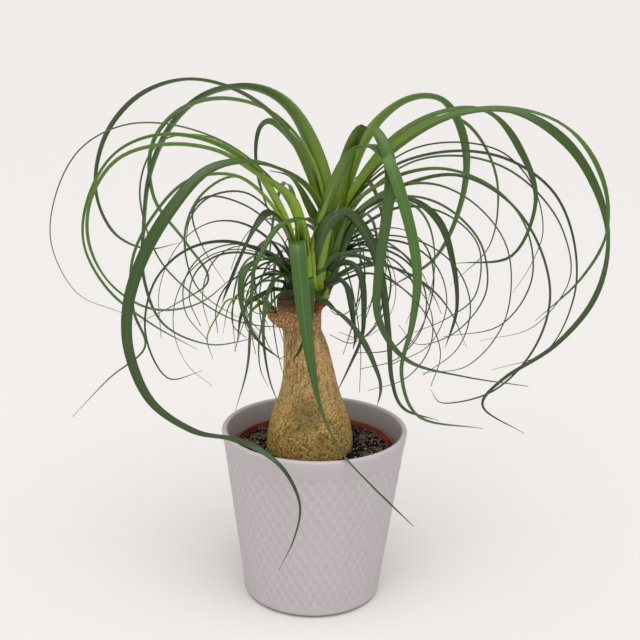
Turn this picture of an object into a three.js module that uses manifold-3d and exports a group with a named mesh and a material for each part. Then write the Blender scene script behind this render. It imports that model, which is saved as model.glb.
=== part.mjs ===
// Potted ponytail palm: a two-headed plant, grown in a nursery pot that stands in a ceramic cover pot.
// Millimetres, +Z up, +Y to the back. The origin is the middle of the cover pot's underside.
import * as THREE from 'three';
import Module from 'manifold-3d';

const wasm = await Module();
wasm.setup();

// Driving dimensions. Neighbours that touch are modelled with a small gap between them.
const GAP = 0.3;
const sliver = 0.02;

const cover = {
  height: 143,
  rimRadius: 75,
  baseRadius: 55.6,
  wall: 4.5,
  floor: 5,
  footRound: 9,
  footBulge: 0.3,
  floorCorner: { inward: 3, upward: 6 },
  lipSteps: 4,
  reliefBottom: 5,
  reliefTop: 131,
  reliefDepth: 1.2,
  lozenges: 48,
  lozengeRows: 9,
};

const nursery = {
  rimHeight: 128,
  rimRadius: 65,
  rimBand: 9,
  rimLean: 0.4,
  bodyRadius: 63,
  ledge: 1,
  baseRadius: 47,
  wall: 1.4,
  floor: 1.6,
  drainHoles: 8,
  drainRadius: 3.5,
  drainCircle: 34,
  drainSides: 12,
  drainDepth: 6,
  sides: 36,
};
const nurseryBottom = cover.floor + GAP;
const bandBottom = nursery.rimHeight - nursery.rimBand;

// The soil's top is drawn in rings, each this share of the way in from the pot to the bulb.
const soil = {
  edgeLevel: 121,
  moundLevel: 126,
  crumb: 1.1,
  rings: [0.06, 0.3, 0.55, 0.8],
  slack: 0.6,
  seedStep: { side: 7, ring: 1000 },
};

// Trunk stations from the buried underside of the bulb to the sawn top: height, sideways place, radius.
const trunkStations = [
  [92, -3, 17],
  [98, -3, 25.5],
  [107, -3, 31],
  [118, -3.4, 34],
  [131, -3.8, 34.8],
  [142, -4.2, 33.4],
  [153, -4.6, 30.6],
  [166, -4.6, 26.4],
  [178, -4.8, 23],
  [190, -5.4, 20.6],
  [203, -6.9, 18.8],
  [216, -8.8, 17.2],
  [226, -11.2, 15.4],
  [234, -11.8, 15.6],
  [240, -12, 15.6],
  [243, -12, 14.8],
];
const trunkSides = 32;
const trunkDepth = -3;

// Low waves round the trunk, as a share of its radius: how many, how high, and how they turn with height.
const trunkLumps = [
  { waves: 3, height: 0.028, turn: 0.045 },
  { waves: 5, height: 0.014, turn: -0.08 },
];

// Each crown has a green core from its foot on the trunk, through its heart, to its tip. The leaves are
// rooted in the core and laid out from the heart.
const crowns = {
  left: {
    core: [[-24, -4, 252], [-14, -6, 270], [-11, -6, 298]],
    radii: [7, 7, 2.6],
  },
  right: {
    core: [[3.6, 1, 251], [10, 6, 285], [13, 8, 314]],
    radii: [6, 7, 3],
  },
  side: {
    core: [[-35, -3, 240], [-38, -3, 244], [-41.5, -3, 249]],
    radii: [3.6, 3, 1.6],
  },
};
const coreSides = 10;

// The stub that each crown stands on, from inside the trunk up to the crown's foot: sideways and up from the
// foot, and radius.
const stubs = {
  left: { stations: [[3, -16, 10], [0, -6, 7.6], [0, 0, 7.2]], sides: 14 },
  right: { stations: [[-8, -25, 8.5], [-4, -9, 4.8], [0, -3, 5.2], [0, 0, 5.6]], sides: 14 },
  side: { stations: [[13, -9, 7], [4, -6, 5.4], [0, -2.5, 4.4], [0, 0, 4.2]], sides: 10 },
};

// Where a leaf is rooted: sunk below the core's skin, no nearer its axis, its foot or its tip than this.
const root = { sunk: 2.5, fromAxis: 1, fromFoot: 5, fromTip: 2 };

// A blade is flat above with a keel below, and narrows by this power of what is left of its length.
const leafBlade = { keel: 1.1, keelShare: 0.7, thinnest: 1.4, taper: 0.7, stepsPerGap: 1.5, nudge: 0.05 };

// Leaves laid by hand: direction in degrees from +X, swing of that direction along the leaf, width, turns of
// the blade in degrees at even steps from root to tip, height of the root from the heart, then the points
// that the leaf arches through as [outward, upward] of the heart, with a direction of their own where it
// winds.
const laidLeaves = {
  left: [
    [184, 10, 8, [-60, -58, -51, -34, -23, -33, -44, -50, -60], 10, [[14, 48], [36, 83], [68, 103],
      [106, 108], [138, 95], [158, 64], [163, 28], [146, -7], [115, -34], [80, -56]]],
    
    [190, 0, 9.8, [-70, -78, -80, -70, -47, -38, -30, -34, -38, -37, -34, -32, -32, -35, -40], 8,
      [[-4, 22, 210], [1, 44], [7, 59, 188], [18, 69, 188], [32, 78, 191], [64, 97, 193], [102, 102, 193],
      [136, 92, 193], [156, 64, 193], [159, 30, 193], [144, -2, 193], [114, -22, 193], [78, -19, 193],
      [46, 6, 193]]],
    [174, 4, 2.6, [-60, -40], 14, [[4, 46], [20, 72], [54, 99], [96, 113], [136, 112], [170, 93],
      [190, 58], [195, 18], [176, -20], [140, -35]]],
    [164, 0, 2.4, [-30, -70], 12, [[8, 52, 164], [36, 84, 166], [74, 104, 168], [112, 98, 170],
      [127, 60, 172], [112, 12, 176], [82, -18, 180], [56, -32, 190], [38, -35, 211], [31, -34, 238],
      [28, -34, 271], [29, -32, 297]]],
    [252, 64, 16, [0, 0, 0, 0, 30, 45, 35, 20, 10], 8, [[11, 26], [23, 27], [32, -8], [37, -55],
      [50, -93], [72, -121], [96, -142], [126, -168]]],
    [286, 0, 9.5, [0, 20], -10, [[17, 0], [27, 3, 287], [32, -12, 287], [34, -33, 286], [33, -42, 279],
      [33, -52, 272], [34, -58, 264]]],
    [184, 6, 5, [-40, -45, -50, -85, -85], 8, [[16, 46], [46, 76], [84, 74], [112, 46], [128, 12],
      [128, -26], [120, -56], [148, -80], [177, -110]]],
    [166, 0, 3.6, [-50, -60], 8, [[18, 48], [50, 74], [82, 56], [95, 20], [82, -20], [38, -44]]],
    [158, 0, 3.4, [-40, -70], 6, [[16, 38], [44, 60], [76, 56], [96, 36], [101, 8]]],
    [148, 0, 3.4, [-40, -70], 4, [[20, 30], [50, 48], [88, 52], [106, 36], [96, 10], [72, -18]]],
    [206, 0, 4.5, [-50, -70], -8, [[24, 16], [58, 31], [92, 27], [117, 4], [124, -34], [108, -70],
      [80, -68]]],
    [224, 0, 9.5, [25, 25, 28, 45, 52, 52, 55], 4, [[8, 30, 202], [21, 47, 219], [36, 53, 227],
      [51, 44, 230], [64, 27, 230], [75, 7, 229], [81, -7, 228]]],
    [214, 20, 7.5, [-40, -40, 40, 50, 55, 60], -4, [[28, 16], [54, 10], [58, -18], [44, -44], [20, -64]]],
    [212, 0, 6.5, [20, 40, 60, 60], -14, [[26, -10], [48, -20], [54, -45]]],
    [106, 0, 6.5, [-20, -40], 4, [[12, 40], [34, 62], [62, 60], [88, 36], [104, 4], [110, -32]]],
  ],
  right: [
    [160, 0, 7.5, [-85, -62, -27, -62, -60, -60], 8, [[20, 60], [44, 98], [80, 121], [124, 128],
      [168, 113], [200, 79], [211, 35], [196, 0], [165, -12], [132, -4]]],
    [148, 8, 16, [-92, -96, -64, -20, -7, 2, 14, 12, 12, 3, -20], 15, [[14, 68], [40, 108], [76, 122],
      [118, 114], [152, 86], [172, 46], [178, 2], [178, -42], [158, -80], [112, -91], [67, -79]]],
    [157, -8, 5.5, [-50, -60], 10, [[16, 68], [50, 104], [96, 114], [140, 102], [170, 70], [170, 26],
      [140, -8], [118, -38], [152, -64], [203, -93]]],
    [205, 0, 12, [-20, 5, 55, 70, 50, 56, 60, 60], 16, [[23, 54, 203], [60, 73, 206], [100, 70, 206],
      [132, 40, 206], [152, 6, 205], [164, -28, 206], [164, -62, 207], [152, -97, 211], [128, -118, 219],
      [110, -122, 231], [104, -129, 243], [104, -143, 254], [104, -168, 260], [101, -198, 257],
      [98, -226, 250]]],
    [128, 0, 9, [10, 20, 30, 60, 130, 140, 140], 14, [[12, 46], [46, 78], [82, 94], [103, 82], [103, 48],
      [77, 5]]],
    [159, 0, 9, [75, 75, 65, 45, 15, 0], 2, [[14, 27, 159], [21, 40, 160], [28, 51, 161], [37, 59, 161],
      [52, 62, 162]]],
    [28, 0, 13.5, [75, 95, 80, 50, 20, 55, 60, 50, 45], 6, [[12, 50], [32, 92], [64, 116], [98, 114],
      [120, 80], [120, 36], [98, -10], [53, -33]]],
    [305, 0, 12.5, [30, 30, 10, -40, -50, -50, -50, -25, 0, 0], 8, [[14, 66, 310], [36, 102, 312],
      [58, 79, 316], [60, 39, 313], [57, 0, 310], [58, -40, 311], [77, -71, 322], [117, -80, 332],
      [163, -84, 338]]],
    [216, 0, 14.5, [-55, -50, -35, -5, 0, -50, -50, -30, -20, -30, -40], -22, [[13, -5, 206],
      [10, 18, 212], [8, 46, 262], [26, 84, 311], [56, 82, 314], [76, 42, 317], [84, 0, 320],
      [78, -42, 323], [68, -84, 326], [84, -118, 329], [134, -119, 333]]],
    
      [236, 0, 14.5, [10, -5, -10, -20, -5, 30, 90, 125, 125, 125, 125, 125, 125, 125], -30, [[17, -9, 223],
      [19, 5, 233], [19, 16, 246], [19, 27, 260], [19, 34, 276], [23, 36, 299], [31, 27, 317],
      [40, 9, 326], [46, -18, 332], [52, -58, 334], [56, -94, 334], [68, -115, 332], [98, -119, 332]]],
    [240, 0, 6.5, [-40, -40, -5, 35, 55, 60, 60, 60, 60, 60], -24, [[17, -13, 236], [16, -4, 258],
      [18, 2, 283], [24, 4, 304], [31, 3, 316], [40, -2, 323], [52, -10, 327], [64, -18, 330],
      [76, -26, 332]]],
    [216, 0, 9, [-20, -20, -10, 5, 8, 8, 5, 5, 10, 15, 20], 4, [[13, 20, 221], [29, 31, 230],
      [41, 32, 230], [54, 29, 226], [66, 21, 227], [75, 11, 228], [83, -1, 228], [86, -35, 228],
      [94, -70, 231], [111, -99, 233]]],
    [14, 0, 12, [-16, -5, -10, -9, -18, -100, -80, -90, -90], 14, [[20, 52], [48, 88], [84, 108],
      [122, 109], [152, 80], [168, 38], [151, -6], [104, -11]]],
    [-14, 0, 8.5, [-57, -57, -48, -26, -11, -12, -75, -50, -90, -90], 12, [[16, 48], [44, 84], [84, 110],
      [130, 119], [172, 108], [200, 76], [208, 34], [192, -4], [161, -39]]],
    [0, 0, 11, [-41, -31, -18, -10, -22, -80, -77, -40, -80, -90, -95, -95, -95], 8, [[16, 44], [46, 80],
      [88, 107], [132, 113], [172, 95], [200, 60], [214, 16], [208, -30], [180, -70], [140, -100],
      [126, -124], [161, -146]]],
    [36, 0, 5, [54, 60], 14, [[18, 44], [50, 78], [88, 98], [126, 98], [156, 74], [174, 36], [168, -12],
      [125, -42]]],
    [18, 0, 4.2, [50, 60], 10, [[22, 46], [56, 70], [104, 78], [150, 69], [190, 42], [212, 0], [216, -48],
      [194, -94], [144, -107]]],
    [32, 0, 3.2, [50, 60], 6, [[28, 42], [70, 66], [116, 70], [164, 59], [206, 34], [240, -4], [252, -50],
      [214, -88], [154, -93]]],
    [-30, 0, 4.4, [50, 60], 8, [[20, 42], [54, 66], [94, 76], [134, 66], [160, 40], [166, 2], [144, -34],
      [100, -50]]],
    [-22, 0, 4.6, [50, 60], 6, [[20, 34], [56, 58], [98, 70], [136, 56], [162, 26], [174, -14],
      [164, -56], [136, -92], [98, -108], [86, -98]]],
    [-40, 0, 3.4, [50, 60], 4, [[24, 36], [60, 60], [100, 67], [138, 54], [162, 26], [162, -20],
      [134, -60], [93, -76]]],
    [8, 0, 11, [-20, -10, -8, -68, -95, -100, -100], 0, [[24, 33], [56, 43], [84, 26], [98, -8],
      [103, -46], [95, -79]]],
    [42, 0, 3.2, [50, 60], 0, [[30, 24], [70, 37], [112, 30], [152, 8], [180, -22], [186, -62],
      [152, -90], [104, -94], [78, -72]]],
    [-32, 0, 3.4, [50, 60], 0, [[26, 24], [60, 44], [98, 44], [126, 24], [126, -12], [104, -34],
      [77, -50]]],
    [293, 0, 4.6, [50, 50, 60, 65, 70, 70, 70, 70], -26, [[15, -15, 293], [24, -7, 312], [36, -2, 323],
      [50, -3, 331], [66, -9, 337], [82, -21, 340], [91, -38, 341]]],
    [22, 0, 3.4, [50, 60], -22, [[36, -12], [66, -20], [92, -38], [110, -60], [124, -88]]],
    [-38, 0, 3, [50, 60], -26, [[34, -10], [66, -14], [92, -32], [106, -58], [99, -86]]],
    [46, 0, 2.8, [50, 60], -8, [[30, 6], [60, 2], [88, -14], [112, -34], [128, -60]]],
    [22, 0, 2.4, [50, 60], 8, [[24, 50], [62, 78], [106, 84], [148, 74], [178, 45], [190, 8], [180, -22],
      [165, -44]]],
    [288, 0, 8, [40, 55, 80, 130, 145, 145, 140, 145, 145], -18, [[17, -6, 288], [28, -2, 299],
      [37, -6, 305], [42, -18, 307], [45, -38, 306], [45, -57, 304], [42, -78, 294], [39, -105, 278]]],
    [64, 0, 7, [24, 40], 4, [[14, 34], [34, 52], [62, 50], [88, 28], [104, -6], [108, -44]]],
    [92, 0, 6.5, [-20, -40], 2, [[10, 30], [30, 44], [58, 40], [84, 18], [98, -14], [96, -50]]],
    [273, 0, 10, [20, 50, 90, 150, 155, 150, 150, 150], -26, [[16, -20, 273], [24, -16, 287],
      [31, -21, 294], [35, -31, 297], [38, -44, 299], [40, -57, 301], [39, -67, 299]]],
    [250, 0, 9.5, [25, 70, 75, 80, 90, 106, 140, 145, 145, 145, 145], -28, [[21, -32, 243],
      [25, -33, 260], [32, -38, 278], [40, -44, 290], [48, -53, 298], [55, -63, 303], [61, -75, 306],
      [65, -86, 308], [66, -96, 308], [65, -106, 306]]],
  ],
  side: [
    [190, 0, 4, [-30, -60], 4, [[10, 4], [30, 6], [38, -4], [48, -24], [44, -42]]],
    [224, 0, 3.2, [-30, -60], 3, [[10, 2], [24, -8], [34, -30]]],
    [150, 0, 3, [-30, -60], 5, [[8, 6], [24, 8], [38, -6], [44, -30]]],
  ],
};

// Leaves laid by rule: the older, thinner and lower ones that fill each crown all round, in bands with their
// own lengths and bends. Those at the back are longer.
const ruleLeaves = [
  { crown: 'left', count: 8, from: 68, to: 132, length: [150, 250], bend: [130, 200] },
  { crown: 'left', count: 14, from: 132, to: 256, length: [90, 175], bend: [150, 260] },
  { crown: 'right', count: 9, from: -12, to: 48, length: [140, 230], bend: [150, 250] },
  { crown: 'right', count: 10, from: 48, to: 118, length: [150, 250], bend: [130, 200] },
];
const rule = {
  lift: [0, 50],
  width: [2.6, 5.4],
  root: [-12, 6],
  scatter: 5,
  swing: 40,
  rootTurn: 60,
  tipTurn: 160,
  droop: 1.25,
  gaps: 6,
  steps: 6,
};

// Each trait of a leaf by rule has a random draw of its own. A leaf's draws follow its seed.
const traits = ['direction', 'swing', 'width', 'rootTurn', 'tipTurn', 'lift', 'length', 'bend', 'root'];
const seedStep = { band: 1000, leaf: 10 };
const shuffle = { step: 12.9898, start: 4.1414, spread: 43758.5453 };

// A leaf by rule keeps this far from the leaves of another crown, the pot and the trunk.
const clear = {
  leaf: 4.5,
  trunk: 8,
  potRadius: 82,
  potHeight: 152,
  tries: 40,
  swing: 3,
  shorten: 0.985,
  pointsPerGap: 6,
};

const degrees = Math.PI / 180;

function material(color, roughness) {
  return new THREE.MeshStandardMaterial({ color, roughness, metalness: 0 });
}
const ceramic = material(0xc4bfc0, 0.62);
const terracottaPlastic = material(0x9c4a34, 0.55);
const pottingMix = material(0x33271f, 0.95);
const corkBark = material(0xa8874e, 0.85);
const leafGreen = material(0x4f8a34, 0.45);
const sideLeafGreen = material(0x3f7030, 0.5);

// Closed body from rings of equal length that run counter-clockwise round the stack, with a fan over each
// end.
function stackRings(rings, otherDiagonal = () => false) {
  const sides = rings[0].length;
  const points = rings.flat();
  const triangles = [];
  for (let row = 0; row < rings.length - 1; row += 1) {
    for (let side = 0; side < sides; side += 1) {
      const a = row * sides + side;
      const b = row * sides + ((side + 1) % sides);
      const c = b + sides;
      const d = a + sides;
      if (otherDiagonal(side, row)) triangles.push(a, b, d, b, c, d);
      else triangles.push(a, b, c, a, c, d);
    }
  }
  const first = points.push(middleOf(rings[0])) - 1;
  const last = points.push(middleOf(rings[rings.length - 1])) - 1;
  const lastRow = (rings.length - 1) * sides;
  for (let side = 0; side < sides; side += 1) {
    const next = (side + 1) % sides;
    triangles.push(first, next, side);
    triangles.push(last, lastRow + side, lastRow + next);
  }
  const geometry = new THREE.BufferGeometry().setFromPoints(points);
  geometry.setIndex(triangles);
  return geometry;
}

function middleOf(ring) {
  const middle = new THREE.Vector3();
  ring.forEach((point) => middle.add(point));
  return middle.divideScalar(ring.length);
}

function circle(radius, height, sides) {
  return Array.from({ length: sides }, (_, side) => {
    const angle = (side / sides) * 2 * Math.PI;
    return new THREE.Vector3(radius * Math.cos(angle), radius * Math.sin(angle), height);
  });
}

function toSolid(geometry) {
  const vertProperties = new Float32Array(geometry.attributes.position.array);
  const triVerts = new Uint32Array(geometry.index.array);
  return new wasm.Manifold(new wasm.Mesh({ numProp: 3, vertProperties, triVerts }));
}

function toGeometry(solid) {
  const { vertProperties, triVerts, numProp } = solid.getMesh();
  const geometry = new THREE.BufferGeometry();
  const positions = new Float32Array((vertProperties.length / numProp) * 3);
  for (let vertex = 0; vertex < vertProperties.length / numProp; vertex += 1) {
    positions.set(vertProperties.subarray(vertex * numProp, vertex * numProp + 3), vertex * 3);
  }
  geometry.setAttribute('position', new THREE.BufferAttribute(positions, 3));
  geometry.setIndex(Array.from(triVerts));
  return geometry;
}

// Joined pieces come out as one body, without slivers. A loose scrap beside it is dropped.
function joined(geometries) {
  const whole = geometries.map(toSolid).reduce((sum, piece) => sum.add(piece)).asOriginal().simplify(sliver);
  const bodies = whole.decompose().sort((one, other) => other.volume() - one.volume());
  return toGeometry(bodies[0]);
}

function namedMesh(name, geometry, finish) {
  geometry.computeVertexNormals();
  const mesh = new THREE.Mesh(geometry, finish);
  mesh.name = name;
  return mesh;
}

// Cover pot: slip-cast, a straight flaring wall with a rounded lip and foot and a relief of tall lozenges.
function coverPot() {
  const sides = cover.lozenges * 2;
  const rows = cover.lozengeRows * 2;
  const slope = (cover.rimRadius - cover.baseRadius) / cover.height;
  const wallAt = (height) => cover.baseRadius + slope * height;
  const rings = [circle(wallAt(0) - cover.footRound, 0, sides)];
  const bulge = cover.footBulge * cover.footRound;
  rings.push(circle(wallAt(0) - bulge, bulge, sides));
  const firstReliefRing = rings.length;
  for (let row = 0; row <= rows; row += 1) {
    const height = THREE.MathUtils.lerp(cover.reliefBottom, cover.reliefTop, row / rows);
    const edge = row === 0 || row === rows;
    const ring = circle(1, height, sides);
    ring.forEach((point, side) => {
      const raised = (side + row) % 2 === 0 || edge;
      const radius = wallAt(height) - (raised ? 0 : cover.reliefDepth);
      point.set(point.x * radius, point.y * radius, height);
    });
    rings.push(ring);
  }
  const lip = cover.wall / 2;
  const lipMiddle = cover.rimRadius - lip;
  for (let step = 0; step <= cover.lipSteps; step += 1) {
    const angle = (step / cover.lipSteps) * Math.PI;
    rings.push(circle(lipMiddle + lip * Math.cos(angle), cover.height - lip + lip * Math.sin(angle), sides));
  }
  const cornerTop = cover.floor + cover.floorCorner.upward;
  rings.push(circle(wallAt(cornerTop) - cover.wall, cornerTop, sides));
  rings.push(circle(wallAt(cover.floor) - cover.wall - cover.floorCorner.inward, cover.floor, sides));
  const alongLozenge = (side, row) => {
    const reliefRow = row - firstReliefRing;
    return reliefRow >= 0 && reliefRow < rows && (side + reliefRow) % 2 !== 0;
  };
  return stackRings(rings, (side, row) => !alongLozenge(side, row));
}

// Nursery pot: thin moulded plastic with a stepped rim band and drain holes in its floor.
function nurseryPot() {
  const { wall, rimHeight, rimRadius, rimLean, bodyRadius, baseRadius, ledge } = nursery;
  const profile = [
    [baseRadius, nurseryBottom],
    [bodyRadius, bandBottom],
    [rimRadius - rimLean, bandBottom + rimLean],
    [rimRadius, rimHeight],
    [rimRadius - wall, rimHeight],
    [rimRadius - wall - rimLean, bandBottom + ledge],
    [bodyRadius - wall, bandBottom - ledge],
    [baseRadius - wall, nurseryBottom + nursery.floor],
  ];
  let pot = toSolid(stackRings(profile.map(([radius, height]) => circle(radius, height, nursery.sides))));
  for (let hole = 0; hole < nursery.drainHoles; hole += 1) {
    const middle = pointing((hole / nursery.drainHoles) * 2 * Math.PI).multiplyScalar(nursery.drainCircle);
    const { drainRadius, drainDepth, drainSides } = nursery;
    const drill = new THREE.CylinderGeometry(drainRadius, drainRadius, drainDepth, drainSides);
    drill.rotateX(Math.PI / 2);
    drill.translate(middle.x, middle.y, nurseryBottom);
    pot = pot.subtract(closedSolid(drill));
  }
  return toGeometry(pot);
}

// A library shape has doubled points along its seams: they are joined before it can cut.
function closedSolid(geometry) {
  const position = geometry.attributes.position;
  const points = [];
  const places = new Map();
  const follow = [];
  for (let index = 0; index < position.count; index += 1) {
    const point = new THREE.Vector3().fromBufferAttribute(position, index);
    const key = point.toArray().map((value) => value.toFixed(4)).join(' ');
    if (!places.has(key)) places.set(key, points.push(point) - 1);
    follow.push(places.get(key));
  }
  const corners = Array.from(geometry.index.array, (index) => follow[index]);
  const kept = [];
  for (let start = 0; start < corners.length; start += 3) {
    const [a, b, c] = corners.slice(start, start + 3);
    if (a !== b && b !== c && c !== a) kept.push(a, b, c);
  }
  const merged = new THREE.BufferGeometry().setFromPoints(points);
  merged.setIndex(kept);
  return toSolid(merged);
}

// One ring of the trunk, a little lumpy. The hole in the soil uses the same ring, wider by the gap.
function trunkRing([height, sideways, radius], wider = 0) {
  return circle(1, height, trunkSides).map((point) => {
    const angle = Math.atan2(point.y, point.x);
    const lump = trunkLumps.reduce((sum, wave) => (
      sum + wave.height * Math.sin(wave.waves * angle + wave.turn * height)), 0);
    const reach = radius * (1 + lump) + wider;
    return new THREE.Vector3(sideways + point.x * reach, trunkDepth + point.y * reach, height);
  });
}

// Round bar along a short path, its rings square to the path.
function bar(path, radii, sides) {
  const points = path.map((place) => new THREE.Vector3(...place));
  const rings = points.map((point, index) => {
    const before = points[Math.max(index - 1, 0)];
    const after = points[Math.min(index + 1, points.length - 1)];
    const along = after.clone().sub(before).normalize();
    const turn = new THREE.Quaternion().setFromUnitVectors(new THREE.Vector3(0, 0, 1), along);
    return circle(radii[index], 0, sides).map((corner) => corner.applyQuaternion(turn).add(point));
  });
  return stackRings(rings);
}

// Trunk: the swollen bulb, the neck, the flared sawn top, and the stubs that the crowns grow from.
function trunk() {
  const body = stackRings(trunkStations.map((station) => trunkRing(station)));
  const limbs = Object.entries(stubs).map(([name, { stations, sides }]) => {
    const [footX, footY, footZ] = crowns[name].core[0];
    const path = stations.map(([sideways, up]) => [footX + sideways, footY, footZ + up]);
    return bar(path, stations.map(([, , radius]) => radius), sides);
  });
  return joined([body, ...limbs]);
}

// Potting soil: fills the nursery pot to just under its rim, mounded to the bulb, with a plain hole for it.
function pottingSoil() {
  const bottom = nurseryBottom + nursery.floor + GAP;
  const rings = [circle(nursery.baseRadius - nursery.wall - soil.slack, bottom, trunkSides)];
  rings.push(circle(nursery.bodyRadius - nursery.wall - soil.slack, bandBottom - nursery.ledge, trunkSides));
  const buried = trunkStations.filter(([height]) => height < soil.moundLevel);
  const [low, high] = [buried[buried.length - 1], trunkStations[buried.length]];
  const share = (soil.moundLevel - low[0]) / (high[0] - low[0]);
  const holeTop = trunkRing(low.map((value, index) => between([value, high[index]], share)), GAP);
  const outside = rings[1];
  for (const inward of soil.rings) {
    rings.push(outside.map((point, side) => {
      const place = point.clone().lerp(holeTop[side], inward);
      const level = between([soil.edgeLevel, soil.moundLevel], inward);
      const seed = side * soil.seedStep.side + inward * soil.seedStep.ring;
      return place.setZ(level + soil.crumb * (draw(seed) - 0.5));
    }));
  }
  rings.push(holeTop);
  buried.reverse().forEach((station) => rings.push(trunkRing(station, GAP)));
  rings[rings.length - 1].forEach((point) => point.setZ(point.z - GAP));
  return stackRings(rings);
}

// Even random draw from 0 to 1 for a number, the same on every run.
function draw(seed) {
  const value = Math.sin(seed * shuffle.step + shuffle.start) * shuffle.spread;
  return value - Math.floor(value);
}

function between([low, high], share) {
  return low + (high - low) * share;
}

// Smooth curve through evenly spaced points, at a place counted in gaps between them.
function curveAt(points, place) {
  const gap = Math.min(Math.floor(place), points.length - 2);
  const t = place - gap;
  const [start, end] = [points[gap], points[gap + 1]];
  const before = gap > 0 ? points[gap - 1] : start.clone().multiplyScalar(2).sub(end);
  const after = gap + 2 < points.length ? points[gap + 2] : end.clone().multiplyScalar(2).sub(start);
  const curve = new THREE.Vector3();
  curve.addScaledVector(before, -t + 2 * t * t - t * t * t);
  curve.addScaledVector(start, 2 - 5 * t * t + 3 * t * t * t);
  curve.addScaledVector(end, t + 4 * t * t - 3 * t * t * t);
  curve.addScaledVector(after, -t * t + t * t * t);
  return curve.multiplyScalar(0.5);
}

// Middle and radius of a crown's core at a height.
function coreAt({ core, radii }, height) {
  const upper = height < core[1][2] ? 1 : 2;
  const [low, high] = [core[upper - 1], core[upper]];
  const share = (height - low[2]) / (high[2] - low[2]);
  return {
    middle: [0, 1, 2].map((axis) => between([low[axis], high[axis]], share)),
    radius: between([radii[upper - 1], radii[upper]], share),
  };
}

// The points that a leaf arches through, from its root in the core, and its direction at each of them.
function leafCourse(leaf) {
  const crown = crowns[leaf.crown];
  const [foot, heart, tip] = crown.core;
  const [lowest, highest] = [foot[2] + root.fromFoot, tip[2] - root.fromTip];
  const rootHeight = THREE.MathUtils.clamp(heart[2] + leaf.root, lowest, highest);
  const { middle, radius } = coreAt(crown, leaf.crown === 'side' ? heart[2] : rootHeight);
  const sunk = Math.max(radius - root.sunk, root.fromAxis);
  const toward = leaf.toward * degrees;
  const points = [new THREE.Vector3(...middle).add(pointing(toward).multiplyScalar(sunk))];
  const angles = [toward];
  leaf.route.forEach(([out, up, direction], index) => {
    const swung = leaf.toward + (leaf.swing * (index + 1)) / leaf.route.length;
    const angle = (direction ?? swung) * degrees;
    points.push(new THREE.Vector3(...heart).add(pointing(angle).multiplyScalar(out)).setZ(heart[2] + up));
    angles.push(angle);
  });
  return { points, angles };
}

function pointing(angle) {
  return new THREE.Vector3(Math.cos(angle), Math.sin(angle), 0);
}

// Blade: three-sided rings along the leaf's curve, turned about it as the leaf's row says.
function blade(leaf) {
  const { points, angles } = leafCourse(leaf);
  const gaps = points.length - 1;
  const steps = leaf.steps ?? Math.round(leafBlade.stepsPerGap * gaps);
  const rings = [];
  for (let step = 0; step <= steps; step += 1) {
    const share = step / steps;
    const place = share * gaps;
    const at = curveAt(points, place);
    const along = curveAt(points, Math.min(place + leafBlade.nudge, gaps));
    along.sub(curveAt(points, Math.max(place - leafBlade.nudge, 0))).normalize();
    const gap = Math.min(Math.floor(place), gaps - 1);
    const angle = between([angles[gap], angles[gap + 1]], place - gap);
    const level = pointing(angle + Math.PI / 2);
    level.addScaledVector(along, -level.dot(along)).normalize();
    const facing = new THREE.Vector3().crossVectors(level, along);
    const turn = turnAt(leaf.turns, share) * degrees;
    const across = level.multiplyScalar(Math.cos(turn)).addScaledVector(facing, Math.sin(turn));
    const under = new THREE.Vector3().crossVectors(along, across);
    const width = Math.max(leaf.width * narrowing(share), leafBlade.thinnest);
    const depth = Math.min(leafBlade.keel, width * leafBlade.keelShare);
    rings.push([
      at.clone().addScaledVector(across, width / 2),
      at.clone().addScaledVector(across, -width / 2),
      at.clone().addScaledVector(under, -depth),
    ]);
  }
  return stackRings(rings);
}

function narrowing(share) {
  return (1 - share) ** leafBlade.taper;
}

function turnAt(turns, share) {
  const place = share * (turns.length - 1);
  const step = Math.min(Math.floor(place), turns.length - 2);
  return between([turns[step], turns[step + 1]], place - step);
}

// Points along a leaf's middle, close enough together to tell whether it clears its neighbours.
function middleLine(leaf) {
  const { points } = leafCourse(leaf);
  const steps = clear.pointsPerGap * (points.length - 1);
  return Array.from({ length: steps + 1 }, (_, step) => ({
    at: curveAt(points, step / clear.pointsPerGap),
    half: 0.5 * leaf.width * narrowing(step / steps),
  }));
}

function clearsLeaf(line, other) {
  return line.every((here) => other.every((there) => {
    const room = here.half + there.half + clear.leaf;
    return here.at.distanceToSquared(there.at) > room * room;
  }));
}

function clearsHolder(line) {
  return line.every(({ at, half }) => {
    if (at.z < clear.potHeight && Math.hypot(at.x, at.y) < clear.potRadius + half) return false;
    const next = trunkStations.findIndex(([height]) => height > at.z);
    if (next < 1) return true;
    const [, sideways, radius] = trunkStations[next];
    return Math.hypot(at.x - sideways, at.y - trunkDepth) > radius + half + clear.trunk;
  });
}

// A leaf by rule sets off at its lift, then bends over and down more and more along its length.
function ruleRoute(rootHeight, lift, length, bend) {
  const route = [];
  const piece = length / rule.gaps;
  let [out, up] = [0, rootHeight];
  for (let gap = 0; gap < rule.gaps; gap += 1) {
    const share = (gap + 0.5) / rule.gaps;
    const angle = (lift - bend * share ** rule.droop) * degrees;
    out += piece * Math.cos(angle);
    up += piece * Math.sin(angle);
    route.push([out, up]);
  }
  return route;
}

function drawFor(seed, trait) {
  return draw(seed + traits.indexOf(trait));
}

function ruleLeaf({ crown, bend: bends }, seed, toward, length) {
  const rootHeight = between(rule.root, drawFor(seed, 'root'));
  const lift = between(rule.lift, drawFor(seed, 'lift'));
  const bend = between(bends, drawFor(seed, 'bend'));
  const rootTurn = rule.rootTurn * (drawFor(seed, 'rootTurn') - 0.5);
  const tipTurn = rule.tipTurn * (drawFor(seed, 'tipTurn') - 0.5);
  return {
    crown,
    toward,
    swing: rule.swing * (drawFor(seed, 'swing') - 0.5),
    width: between(rule.width, drawFor(seed, 'width')),
    turns: [rootTurn, tipTurn],
    root: rootHeight,
    route: ruleRoute(rootHeight, lift, length, bend),
    steps: rule.steps,
  };
}

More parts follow.
